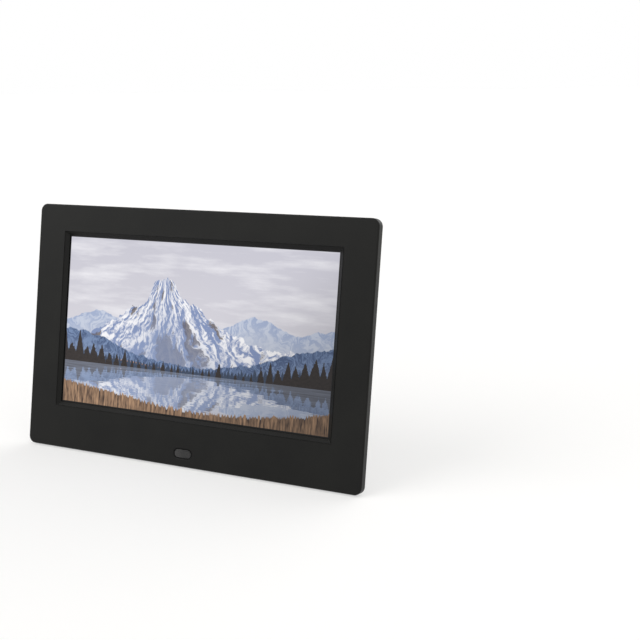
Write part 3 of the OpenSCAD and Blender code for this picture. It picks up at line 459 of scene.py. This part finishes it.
    # grass on the near bank, blade by blade
    blade = stretched(tree, u, v, look["blades"])
    blades = addNode(tree, "TexNoise", {"Vector": blade, "Scale": 1, "Detail": 3, "Roughness": 0.6})
    edge = addNode(tree, "MapRange", {"Value": blades, "From Min": 0.3, "From Max": 0.7,
                                      "To Min": look["tufts"][0], "To Max": look["tufts"][1]})
    bank = addNode(tree, "Math", {0: curveAcross(tree, u, look["bank"]), 1: edge}, operation="ADD")
    bankDepth = addNode(tree, "Math", {0: bank, 1: v}, operation="SUBTRACT")
    bankMask = addNode(tree, "MapRange", {"Value": bankDepth, "From Max": 0.006})
    grass = addNode(tree, "MapRange", {"Value": blades, "From Min": 0.35, "From Max": 0.68})
    tufts = addNode(tree, "Mix", {0: grass, 6: linear(look["bankDark"]),
                                  7: linear(look["bankLight"])}, data_type="RGBA")
    picture = addNode(tree, "Mix", {0: bankMask, 6: picture, 7: tufts}, data_type="RGBA")
    # the light falls off towards the lower right
    slant = look["duskSlant"]
    low = addNode(tree, "Math", {0: v, 1: -slant, 2: slant}, operation="MULTIPLY_ADD")
    sides = addNode(tree, "Math", {0: u, 1: low}, operation="ADD")
    dusk = addNode(tree, "MapRange", {"Value": sides, "From Min": look["duskFrom"],
                                      "From Max": look["duskTo"], "To Min": 1.0,
                                      "To Max": look["dusk"]},
                   interpolation_type="SMOOTHSTEP")
    dimmed = addNode(tree, "VectorMath", {0: picture, 3: dusk}, operation="SCALE")
    # black beyond the picture's edge, where the glass carries a printed border
    edges = []
    soft = look["softEdge"]
    for part, middle, half in ((parts.outputs[0], xMid, width / 2),
                               (parts.outputs[2], zMid, height / 2)):
        off = addNode(tree, "Math", {0: part, 1: middle}, operation="SUBTRACT")
        away = addNode(tree, "Math", {0: off}, operation="ABSOLUTE")
        edges.append(addNode(tree, "MapRange", {"Value": away, "From Min": half + soft,
                                                "From Max": half - soft}))
    inside = addNode(tree, "Math", {0: edges[0], 1: edges[1]}, operation="MULTIPLY")
    return addNode(tree, "VectorMath", {0: dimmed, 3: inside}, operation="SCALE").outputs[0]


# Glass with a bonded matte polariser, lit from behind: the picture glows, and the room hardly
# mirrors in it
litGlass, tree, shader, spot = startMaterial("displayGlassPolarised")
tree.links.new(landscapePicture(tree, spot), shader.inputs["Emission Color"])
shader.inputs["Emission Strength"].default_value = 1.0
shader.inputs["Base Color"].default_value = linear(screenLook["base"])
shader.inputs["IOR"].default_value = screenLook["ior"]
haze = addNode(tree, "TexNoise", {"Vector": spot, "Scale": 1 / screenLook["grain"], "Detail": 2})
hazeRough = addNode(tree, "MapRange", {"Value": haze, "To Min": screenLook["rough"][0],
                                       "To Max": screenLook["rough"][1]})
tree.links.new(hazeRough.outputs[0], shader.inputs["Roughness"])
dress("screen_glass", litGlass)
print("screen dressed")

# Acrylic dyed smoky to pass only infrared, moulded glossy: dark glass with a painted sheen to the
# left, a painted highlight ring for the lens behind it and a painted shade along its rounded edge
windowLook = {"dark": "#262627", "light": "#403f3f", "grain": 1.6, "drift": 6,
              "rough": (0.16, 0.24), "bump": 0.01,
              "shader": {"IOR": 1.38, "Transmission Weight": 0.35},
              "rim": "#090909", "rimWidth": 0.16, "rimSoft": 0.15, "pale": "#4f4e4d",
              "sheenFrom": 2.0, "sheenTo": -4.5, "sheenShare": 0.7,
              "lensX": 2.4, "lensDepth": 0.1, "lensRadius": 0.9, "lensFrom": 0.4, "lensTo": 0.1,
              "lensGlintShare": 0.45}
smokedAcrylic = grainFinish("acrylicSmokedMoulded", windowLook)
tree = smokedAcrylic.node_tree
away, side = windowDistance(tree, tree.nodes["Mapping"].outputs["Vector"])
# painted sheen: the window's colour pales towards its left side, as a reflection would
paintedSheenMask = addNode(tree, "MapRange", {"Value": side, "From Min": windowLook["sheenFrom"],
                                      "From Max": windowLook["sheenTo"],
                                      "To Max": windowLook["sheenShare"]})
overlayColour(smokedAcrylic, paintedSheenMask, windowLook["pale"])
# painted highlight: a faint pale ring where the receiver's lens behind the window catches light
toLens = addNode(tree, "VectorMath", {0: tree.nodes["Mapping"].outputs["Vector"],
                                      1: (windowLook["lensX"], windowLook["lensDepth"],
                                          caseSpots["window"][1])},
                 operation="DISTANCE")
offRing = addNode(tree, "Math", {0: toLens.outputs["Value"], 1: windowLook["lensRadius"]},
                  operation="SUBTRACT")
ringAway = addNode(tree, "Math", {0: offRing}, operation="ABSOLUTE")
lensGlintMask = addNode(tree, "MapRange", {"Value": ringAway, "From Min": windowLook["lensFrom"],
                                      "From Max": windowLook["lensTo"],
                                      "To Max": windowLook["lensGlintShare"]})
overlayColour(smokedAcrylic, lensGlintMask, windowLook["pale"])
# painted shade: a dark band round the window's edge, for its rounded rim
rimEdge = caseSpots["windowRadius"] - windowLook["rimWidth"]
rimShadeMask = addNode(tree, "MapRange", {"Value": away, "From Min": rimEdge - windowLook["rimSoft"],
                                     "From Max": rimEdge})
overlayColour(smokedAcrylic, rimShadeMask, windowLook["rim"])
dress("remote_window", smokedAcrylic, edge=0.12)
print("remote window dressed")

# Each: what it is and how it was made, what that gives the eye, and the nodes that wear it
finishes = {
    # closed-cell foam tape, die cut: dead black, pitted
    "foamTapeDieCut": ({"dark": "#0c0c0c", "light": "#171717", "grain": 0.25, "rough": (0.85, 0.98),
                        "bump": 0.03}, ["screen_gasket"]),
    # acrylic light guide with a milky film on it: soft white
    "acrylicDiffuser": ({"dark": "#e4e4de", "light": "#efefe9", "grain": 0.6, "rough": (0.5, 0.62),
                         "bump": 0.004, "shader": {"Subsurface Weight": 0.2,
                                                   "Subsurface Scale": 0.001}},
                        ["screen_backlight"]),
    # polyimide film over copper: clear amber, glossy
    "polyimideFilm": ({"dark": "#8a4f12", "light": "#b5701f", "grain": 0.4,
                       "stretch": (1.5, 0.05, 0.05), "rough": (0.2, 0.32), "bump": 0.006,
                       "shader": {"IOR": 1.6}}, ["screen_ribbon"]),
    # PVC flat cable, extruded: grey with a ridge over each wire
    "flatCableExtruded": ({"dark": "#6d6d6b", "light": "#8f8f8c", "grain": 0.9,
                           "stretch": (1, 0.04, 0.04), "rough": (0.42, 0.55), "bump": 0.12},
                          ["remote_ribbon"]),
    # nylon, moulded: cream, a little waxy
    "nylonCreamMoulded": ({"dark": "#d8d2bf", "light": "#e8e3d3", "grain": 0.5,
                           "rough": (0.45, 0.58), "bump": 0.01}, ["ribbon_socket", "speaker_plug"]),
    # epoxy over silicon, transfer moulded: matte charcoal with a sandy grain
    "epoxyTransferMoulded": ({"dark": "#131314", "light": "#1d1d1f", "grain": 0.18,
                              "rough": (0.55, 0.7), "bump": 0.02},
                             ["main_chips", "remote_receiver"]),
    # ferrite, sintered: dull grey, slightly porous
    "ferriteSintered": ({"dark": "#3c3d40", "light": "#56585b", "grain": 0.2,
                         "rough": (0.55, 0.75), "bump": 0.02}, ["board_coil"]),
    # PBT, moulded: deep black with a low gloss
    "pbtBlackMoulded": ({"dark": "#0e0e10", "light": "#161619", "grain": 0.4, "rough": (0.38, 0.5),
                         "bump": 0.008, "shader": {"IOR": 1.4}},
                        ["usb_tongue", "power_jack", "switch_body"]),
    # painted steel basket: dark grey, orange-peel paint
    "steelPowderCoated": ({"dark": "#2b2d30", "light": "#3b3e42", "grain": 0.5,
                           "rough": (0.4, 0.55), "bump": 0.03}, ["speaker_frame"]),
    # pressed paper pulp: fibrous, matte black
    "paperPulpPressed": ({"dark": "#121213", "light": "#2a2929", "grain": 0.35,
                          "stretch": (1, 1, 2.5), "rough": (0.8, 0.95), "bump": 0.06},
                         ["speaker_cone"]),
    # PVC sleeve, extruded: red, soft gloss
    "pvcSleeveExtruded": ({"dark": "#7f1613", "light": "#a8231e", "grain": 0.6,
                           "rough": (0.32, 0.42), "bump": 0.004}, ["speaker_wires"]),
    # ABS rod, moulded: matte black that dulls all light
    "absRodMoulded": ({"dark": "#0f0f0f", "light": "#171716", "grain": 0.5, "rough": (0.5, 0.62),
                       "bump": 0.012, "shader": {"IOR": 1.3}}, ["stand_leg"]),
    # thermoplastic rubber, moulded: matte, a shade greyer where it is handled
    "rubberMoulded": ({"dark": "#0c0c0d", "light": "#191919", "grain": 0.35, "rough": (0.72, 0.9),
                       "bump": 0.03, "shader": {"IOR": 1.35}}, ["leg_tip"]),
    # ABS, moulded with a sparked grain for grip: a shade paler than the cover
    "absKnobMoulded": ({"dark": "#202125", "light": "#2b2c31", "grain": 0.4, "rough": (0.42, 0.55),
                        "bump": 0.015, "shader": {"IOR": 1.38}}, ["switch_knob"]),
    # ABS, polished tool: smoother and blacker than the cover round it
    "absButtonPolished": ({"dark": "#0f1011", "light": "#151617", "grain": 0.5,
                           "rough": (0.2, 0.28), "bump": 0.003, "shader": {"IOR": 1.36}},
                          ["power_button"]),
    # tinplate, stamped: grey, rolled one way
    "tinplateStamped": ({"dark": "#8e9195", "light": "#b4b7bb", "grain": 0.5,
                         "stretch": (0.08, 1, 1), "rough": (0.32, 0.46), "bump": 0.004,
                         "shader": {"Metallic": 1.0}},
                        ["screen_tray", "usb_shell", "button_switch"]),
    # zinc-plated steel: bright, faintly blue
    "steelZincPlated": ({"dark": "#969a9f", "light": "#bdc1c6", "grain": 0.6, "rough": (0.22, 0.36),
                         "bump": 0.004, "shader": {"Metallic": 1.0}}, ["board_screws"]),
    # aluminium, drawn cans: pale and even
    "aluminiumDrawn": ({"dark": "#b3b6ba", "light": "#cfd1d4", "grain": 0.4,
                        "stretch": (1, 0.15, 1), "rough": (0.25, 0.38), "bump": 0.004,
                        "shader": {"Metallic": 1.0}},
                       ["board_capacitors"]),
    # nickel over ferrite: smooth, warm grey
    "nickelPlated": ({"dark": "#8b8a86", "light": "#a9a8a3", "grain": 0.5, "rough": (0.18, 0.3),
                      "bump": 0.003, "shader": {"Metallic": 1.0}}, ["speaker_magnet"]),
    # gold flash over brass: yellow, bright
    "goldFlashPlated": ({"dark": "#c79a3f", "light": "#e0b860", "grain": 0.3, "rough": (0.15, 0.26),
                         "bump": 0.002, "shader": {"Metallic": 1.0}}, ["usb_contacts", "jack_pin"]),
    # free-cutting brass, turned: warm yellow, bright on the faces
    "brassTurned": ({"dark": "#b37e46", "light": "#dcaa70", "grain": 0.8, "rough": (0.18, 0.28),
                     "bump": 0.002, "shader": {"Metallic": 1.0}}, ["leg_bush"]),
}
# how far these nodes' edges are rounded, in mm
edgeSizes = {"stand_leg": 0.1, "switch_knob": 0.2, "power_button": 0.12, "power_jack": 0.1,
             "usb_tongue": 0.06, "main_chips": 0.08, "ribbon_socket": 0.1, "speaker_plug": 0.1,
             "switch_body": 0.1, "board_coil": 0.1, "speaker_frame": 0.15}
made = {}
for name, (look, wearers) in finishes.items():
    made[name] = grainFinish(name, look)
    for wearer in wearers:
        dress(wearer, made[name], edge=edgeSizes.get(wearer, 0))
print("plain finishes given to %d nodes" % sum(len(w) for _, w in finishes.values()))

# Glass epoxy with green solder mask: traces and pads show as slightly raised, paler lines
boardLook = {"mask": "#12492c", "trace": "#1d6a40", "pad": "#c9c4b0", "rough": 0.32,
             "pitch": 1.27, "traceHeight": 0.03, "traceWide": 0.05, "traceShift": 0.37,
             "traceSquash": 0.6, "padsApart": 2.3, "padScatter": 0.8, "padEdge": (0.14, 0.12)}


# traces run as the joints of a brick pattern, and pads are round spots between them
def boardFinish(name):
    material, tree, shader, spot = startMaterial(name)
    turned = addNode(tree, "Mapping", {"Vector": spot, "Rotation": (math.pi / 2, 0, 0)})
    runs = addNode(tree, "TexBrick", {"Vector": turned, "Scale": 1 / (2 * boardLook["pitch"]),
                                      "Mortar Size": boardLook["traceWide"],
                                      "Mortar": (1, 1, 1, 1), "Color1": (0, 0, 0, 1),
                                      "Color2": (0, 0, 0, 1)},
                   offset=boardLook["traceShift"], squash=boardLook["traceSquash"])
    padPitch = boardLook["padsApart"] * boardLook["pitch"]
    dots = addNode(tree, "TexVoronoi", {"Vector": turned, "Scale": 1 / padPitch,
                                        "Randomness": boardLook["padScatter"]})
    vias = addNode(tree, "MapRange", {"Value": dots, "From Min": boardLook["padEdge"][0],
                                      "From Max": boardLook["padEdge"][1]})
    traced = addNode(tree, "Mix", {0: runs.outputs["Color"], 6: linear(boardLook["mask"]),
                                   7: linear(boardLook["trace"])}, data_type="RGBA")
    dotted = addNode(tree, "Mix", {0: vias, 6: traced, 7: linear(boardLook["pad"])},
                     data_type="RGBA")
    tree.links.new(dotted.outputs[2], shader.inputs["Base Color"])
    bump = addNode(tree, "Bump", {"Height": runs.outputs["Color"], "Strength": 1,
                                  "Distance": boardLook["traceHeight"] * mm})
    tree.links.new(bump.outputs[0], shader.inputs["Normal"])
    shader.inputs["Roughness"].default_value = boardLook["rough"]
    return material


maskGreen = boardFinish("glassEpoxyMasked")
for board in ("main_board", "remote_board"):
    dress(board, maskGreen)
print("boards dressed")

# Polyester film, screen printed gloss black: mirror-like beside the cover, with a thin grey
# frame line
labelLook = {"dark": "#070708", "light": "#0a0a0b", "grain": 2.5, "drift": 12, "rough": (0.1, 0.16),
             "bump": 0.004, "shader": {"IOR": 1.22}}
dress("rating_label", grainFinish("polyesterFilmPrinted", labelLook))

# printed grey ink: matte
inkLook = {"dark": "#5b5d60", "light": "#6a6c70", "grain": 0.4, "rough": (0.5, 0.6), "bump": 0.002,
           "inset": 0.35, "width": 0.22, "rise": 0.02, "sink": 0.02, "radius": 1.4}


# points of a rounded rectangle, in mm round its middle
def roundRect(width, height, radius, steps=6):
    points = []
    for corner, (sx, sz) in enumerate(((1, 1), (-1, 1), (-1, -1), (1, -1))):
        for step in range(steps + 1):
            turn = math.radians(90 * corner + 90 * step / steps)
            points.append((sx * (width / 2 - radius) + radius * math.cos(turn),
                           sz * (height / 2 - radius) + radius * math.sin(turn)))
    return points


# faces between closed rings of points; closed also joins the last ring to the first
def joinRings(mesh, rings, closed):
    count = len(rings[0])
    for index in range(len(rings) if closed else len(rings) - 1):
        ring, other = rings[index], rings[(index + 1) % len(rings)]
        for step in range(count):
            beside = (step + 1) % count
            mesh.faces.new((ring[step], ring[beside], other[beside], other[step]))


def makeLabelLine():
    mesh = bmesh.new()
    x, _, z = caseSpots["label"]
    width, height = caseSpots["labelSize"]
    top = caseSpots["panelDepth"] + inkLook["rise"]
    foot = caseSpots["panelDepth"] - inkLook["sink"]
    rings = []
    for inset, y in ((0, foot), (0, top), (inkLook["width"], top), (inkLook["width"], foot)):
        shrink = 2 * (inkLook["inset"] + inset)
        outline = roundRect(width - shrink, height - shrink, inkLook["radius"] - inset)
        rings.append([mesh.verts.new(casePoint(x + px, y, z + pz)) for px, pz in outline])
    joinRings(mesh, rings, closed=True)
    return mesh


addPiece("labelFrameLine", makeLabelLine(), grainFinish("inkGreyPrinted", inkLook), "case")
print("label dressed")

# Threads: M3 in the brass inserts and M4-like on the leg's stud, cut as real helices
insertCut = {"outer": 2.6, "flange": 2.75, "flangeDepth": 0.6, "bore": 1.25, "lead": 0.5,
             "length": 5, "top": 16.7, "chamfer": 0.08, "pitch": 0.5, "depth": 0.27,
             "rowsPerTurn": 6, "steps": 24, "boreShadeColour": "#5f3013", "boreFrom": 1.35,
             "boreTo": 1.75, "farOff": 100.0}
flatCrest = 1.15        # a thread's ridge is cut off flat, so its wave is drawn this much too tall
studCut = {"root": 1.72, "crest": 2.07, "from": 12.0, "plainFrom": 16.8, "to": 25.75, "pitch": 0.8,
           "rowsPerTurn": 8, "steps": 32, "fade": 0.5}


# a turned piece round an axis through x, z; in rows of (radius, y, cut) cut is the thread's height
def turnedRings(mesh, x, z, rows, pitch, steps):
    rings = []
    for radius, y, cut in rows:
        ring = []
        for step in range(steps):
            share = step / steps
            wave = (y / pitch - share) % 1
            height = min(1, flatCrest * (1 - abs(2 * wave - 1)))
            turn = 2 * math.pi * share
            wide = radius + cut * height
            spot = casePoint(x + wide * math.cos(turn), y, z + wide * math.sin(turn))
            ring.append(mesh.verts.new(spot))
        rings.append(ring)
    return rings


def makeThreadedInserts():
    mesh = bmesh.new()
    look = insertCut
    top, foot = look["top"], look["top"] - look["length"]
    flangeFoot = top - look["flangeDepth"]
    boreTop = top - look["lead"]
    turns = (boreTop - foot) / look["pitch"]
    count = round(turns * look["rowsPerTurn"])
    bore = []
    for row in range(count + 1):
        y = boreTop + (foot - boreTop) * row / count
        cut = 0 if row in (0, count) else look["depth"]
        bore.append((look["bore"], y, cut))
    rows = [(look["outer"], foot, 0), (look["outer"], flangeFoot, 0),
            (look["flange"], flangeFoot, 0), (look["flange"], top - look["chamfer"], 0),
            (look["flange"] - look["chamfer"], top, 0),
            (look["bore"] + look["lead"], top, 0), *bore]
    for insertSpot in insertSpots:
        rings = turnedRings(mesh, insertSpot.x, insertSpot.z, rows, look["pitch"], look["steps"])
        joinRings(mesh, rings, closed=True)
    return mesh


def makeThreadedStud():
    mesh = bmesh.new()
    look = studCut
    x, z = caseSpots["leg"]
    length = look["plainFrom"] - look["from"]
    count = round(length / look["pitch"] * look["rowsPerTurn"])
    rows = []
    for row in range(count + 1):
        y = look["from"] + length * row / count
        runIn = min(1, (y - look["from"]) / look["fade"])
        runOut = min(1, (look["plainFrom"] - y) / look["fade"])
        base = look["crest"] + (look["root"] - look["crest"]) * runOut
        rows.append((base, y, (look["crest"] - base) * runIn))
    rows += [(look["crest"], look["to"], 0)]
    rings = turnedRings(mesh, x, z, rows, look["pitch"], look["steps"])
    joinRings(mesh, rings, closed=False)
    mesh.faces.new(rings[0])
    mesh.faces.new(rings[-1])
    return mesh


insertSpots = [caseSpot(Vector(mount["pos_m"])) for mount in frame["record"]["mounts"]
               if mount["name"].startswith("insert_")]

# painted shade: light that enters the inserts' threads stays in them,
# so the bores are painted a dark red brown
brass = made["brassTurned"].node_tree
flatSpot = addNode(brass, "VectorMath", {0: brass.nodes["Mapping"].outputs["Vector"],
                                         1: (1.0, 0.0, 1.0)}, operation="MULTIPLY")
nearest = insertCut["farOff"]
for insertSpot in insertSpots:
    toAxis = addNode(brass, "VectorMath", {0: flatSpot, 1: (insertSpot.x, 0.0, insertSpot.z)},
                     operation="DISTANCE")
    nearest = addNode(brass, "Math", {0: toAxis.outputs["Value"], 1: nearest}, operation="MINIMUM")
boreShadeMask = addNode(brass, "MapRange", {"Value": nearest, "From Min": insertCut["boreTo"],
                                       "From Max": insertCut["boreFrom"]})
overlayColour(made["brassTurned"], boreShadeMask, insertCut["boreShadeColour"])

threadSmooth = 30       # edges of a thread that bend by fewer degrees than this look round
inserts = addPiece("insertsThreaded", makeThreadedInserts(), made["brassTurned"], "case",
                   threadSmooth)
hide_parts("mount_inserts")
stud = addPiece("legStudThreaded", makeThreadedStud(), made["steelZincPlated"], "leg",
                threadSmooth)
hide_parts("leg_stud")
print("threads cut")

# Leads of the chips, tinned copper, dull silver: a thin strip leaves the side, bends down and
# stands on the board
leadLook = {"dark": "#9a9c9f", "light": "#b9bbbd", "grain": 0.4, "rough": (0.3, 0.42),
            "bump": 0.002, "shader": {"Metallic": 1.0}, "pitch": 1.27, "wide": 0.4,
            "thick": 0.14, "reach": 0.9, "foot": 0.4, "margin": 0.7, "rooted": 0.1}
# x and z of each chip's middle, its width and height, its thickness, and whether leads stand on
# all its sides
chipSeats = [(-22, -14, 14, 14, 1.4, True), (-3, -14, 9, 6.5, 1.1, False),
             (-3, -26, 6, 5, 1.5, False), (-44, -10, 5, 4, 1.5, False)]
boardFace = 9.8         # depth of the board's face that carries the chips, in mm


def makeChipLeads():
    mesh = bmesh.new()
    look = leadLook
    half = look["thick"] / 2
    for x, z, wide, high, thick, allSides in chipSeats:
        sides = [(0, 1, wide, high), (0, -1, wide, high)]
        if allSides:
            sides += [(1, 0, high, wide), (-1, 0, high, wide)]
        middle = boardFace + thick / 2
        bend = look["reach"] - look["foot"]
        # outline of one lead, seen from its side: how far out, and at what depth
        outline = [(-look["rooted"], middle + half), (bend, middle + half),
                   (bend + half, boardFace + look["thick"]),
                   (look["reach"], boardFace + look["thick"]), (look["reach"], boardFace),
                   (bend - half, boardFace), (bend - half * 2, middle - half),
                   (-look["rooted"], middle - half)]
        for dx, dz, along, deep in sides:
            count = int((along - 2 * look["margin"]) / look["pitch"]) + 1
            for number in range(count):
                place = (number - (count - 1) / 2) * look["pitch"]
                rings = []
                for edge in (-look["wide"] / 2, look["wide"] / 2):
                    ring = []
                    for out, y in outline:
                        far = deep / 2 + out
                        px = x + dx * far + (place + edge) * abs(dz)
                        pz = z + dz * far + (place + edge) * abs(dx)
                        ring.append(mesh.verts.new(casePoint(px, y, pz)))
                    rings.append(ring)
                joinRings(mesh, rings, closed=False)
                mesh.faces.new(rings[0])
                mesh.faces.new(rings[1])
    return mesh


addPiece("chipLeads", makeChipLeads(), grainFinish("copperTinned", leadLook), "case")
print("chip leads bent")

# The floor shows white to the camera and in reflections, and keeps the soft shadow under the frame
floorLook = {"size": 12.0, "colour": "#bcbbb9", "rough": 0.9, "gloss": 0.1, "glow": 0.50}
floorMesh = bpy.data.meshes.new("floor")
half = floorLook["size"] / 2
floorMesh.from_pydata([(-half, -half, 0), (half, -half, 0), (half, half, 0), (-half, half, 0)], [],
                      [(0, 1, 2, 3)])
floor = bpy.data.objects.new("floor", floorMesh)
bpy.context.scene.collection.objects.link(floor)


# 1 for rays seen straight, off gloss or through glass, 0 for the light thrown on the object
def shownRays(tree):
    paths = addNode(tree, "LightPath").outputs
    seen = addNode(tree, "Math", {0: paths["Is Camera Ray"], 1: paths["Is Glossy Ray"]},
                   operation="MAXIMUM")
    return addNode(tree, "Math", {0: seen, 1: paths["Is Transmission Ray"]}, operation="MAXIMUM")


floorPaint = bpy.data.materials.new("floorPaper")
floorPaint.use_nodes = True
tree = floorPaint.node_tree
paper = tree.nodes["Principled BSDF"]
paper.inputs["Base Color"].default_value = linear(floorLook["colour"])
paper.inputs["Roughness"].default_value = floorLook["rough"]
paper.inputs["Specular IOR Level"].default_value = floorLook["gloss"]
glow = addNode(tree, "Math", {0: shownRays(tree), 1: floorLook["glow"]}, operation="MULTIPLY")
light = addNode(tree, "Emission", {"Color": (1, 1, 1, 1), "Strength": glow})
total = addNode(tree, "AddShader", {0: paper, 1: light})
tree.links.new(total.outputs[0], tree.nodes["Material Output"].inputs["Surface"])
floorMesh.materials.append(floorPaint)

# White room for the eye and for reflections, and a softer level for the light that it throws
roomLook = {"shown": 1.0, "thrown": 0.5}
world = bpy.data.worlds.new("studioRoom")
bpy.context.scene.world = world
world.use_nodes = True
tree = world.node_tree
level = addNode(tree, "MapRange", {"Value": shownRays(tree), "To Min": roomLook["thrown"],
                                   "To Max": roomLook["shown"]})
room = tree.nodes["Background"]
room.inputs["Color"].default_value = (1, 1, 1, 1)
tree.links.new(level.outputs[0], room.inputs["Strength"])

# Soft lights from far off: where each comes from, how wide it looks in degrees, and its strength
softLights = {
    "keyLeft": {"from": (-0.75, -0.75, 0.75), "wide": 50, "strength": 1.3},
    "fillRight": {"from": (0.9, -0.5, 0.6), "wide": 60, "strength": 0.5},
    "topBack": {"from": (0.35, 0.75, 0.6), "wide": 60, "strength": 1.1},
}
for name, look in softLights.items():
    lamp = bpy.data.lights.new(name, "SUN")
    lamp.angle, lamp.energy = math.radians(look["wide"]), look["strength"]
    holder = bpy.data.objects.new(name, lamp)
    bpy.context.scene.collection.objects.link(holder)
    holder.rotation_mode = "QUATERNION"
    holder.rotation_quaternion = Vector(look["from"]).to_track_quat("Z", "Y")

# Camera: where it stands on the case's axes, in mm, and which way it looks
cameraLook = {"at": (280.27, -445.76, 40.06), "right": (0.90113, 0.42846, 0.06631),
              "up": (-0.08139, 0.01695, 0.99654), "lens": 59.92}
lens = bpy.data.cameras.new("camera")
lens.sensor_width = 36
lens.lens = cameraLook["lens"]
lens.clip_start = 0.01
camera = bpy.data.objects.new("camera", lens)
bpy.context.scene.collection.objects.link(camera)
right = (caseTurn @ Vector(cameraLook["right"])).normalized()
up = (caseTurn @ Vector(cameraLook["up"])).normalized()
turn = Matrix((right, up, right.cross(up))).transposed().to_4x4()
camera.matrix_world = Matrix.Translation(casePoint(*cameraLook["at"])) @ turn
bpy.context.scene.camera = camera
bpy.context.scene.view_settings.view_transform = "Standard"
print("stage, lights and camera placed")
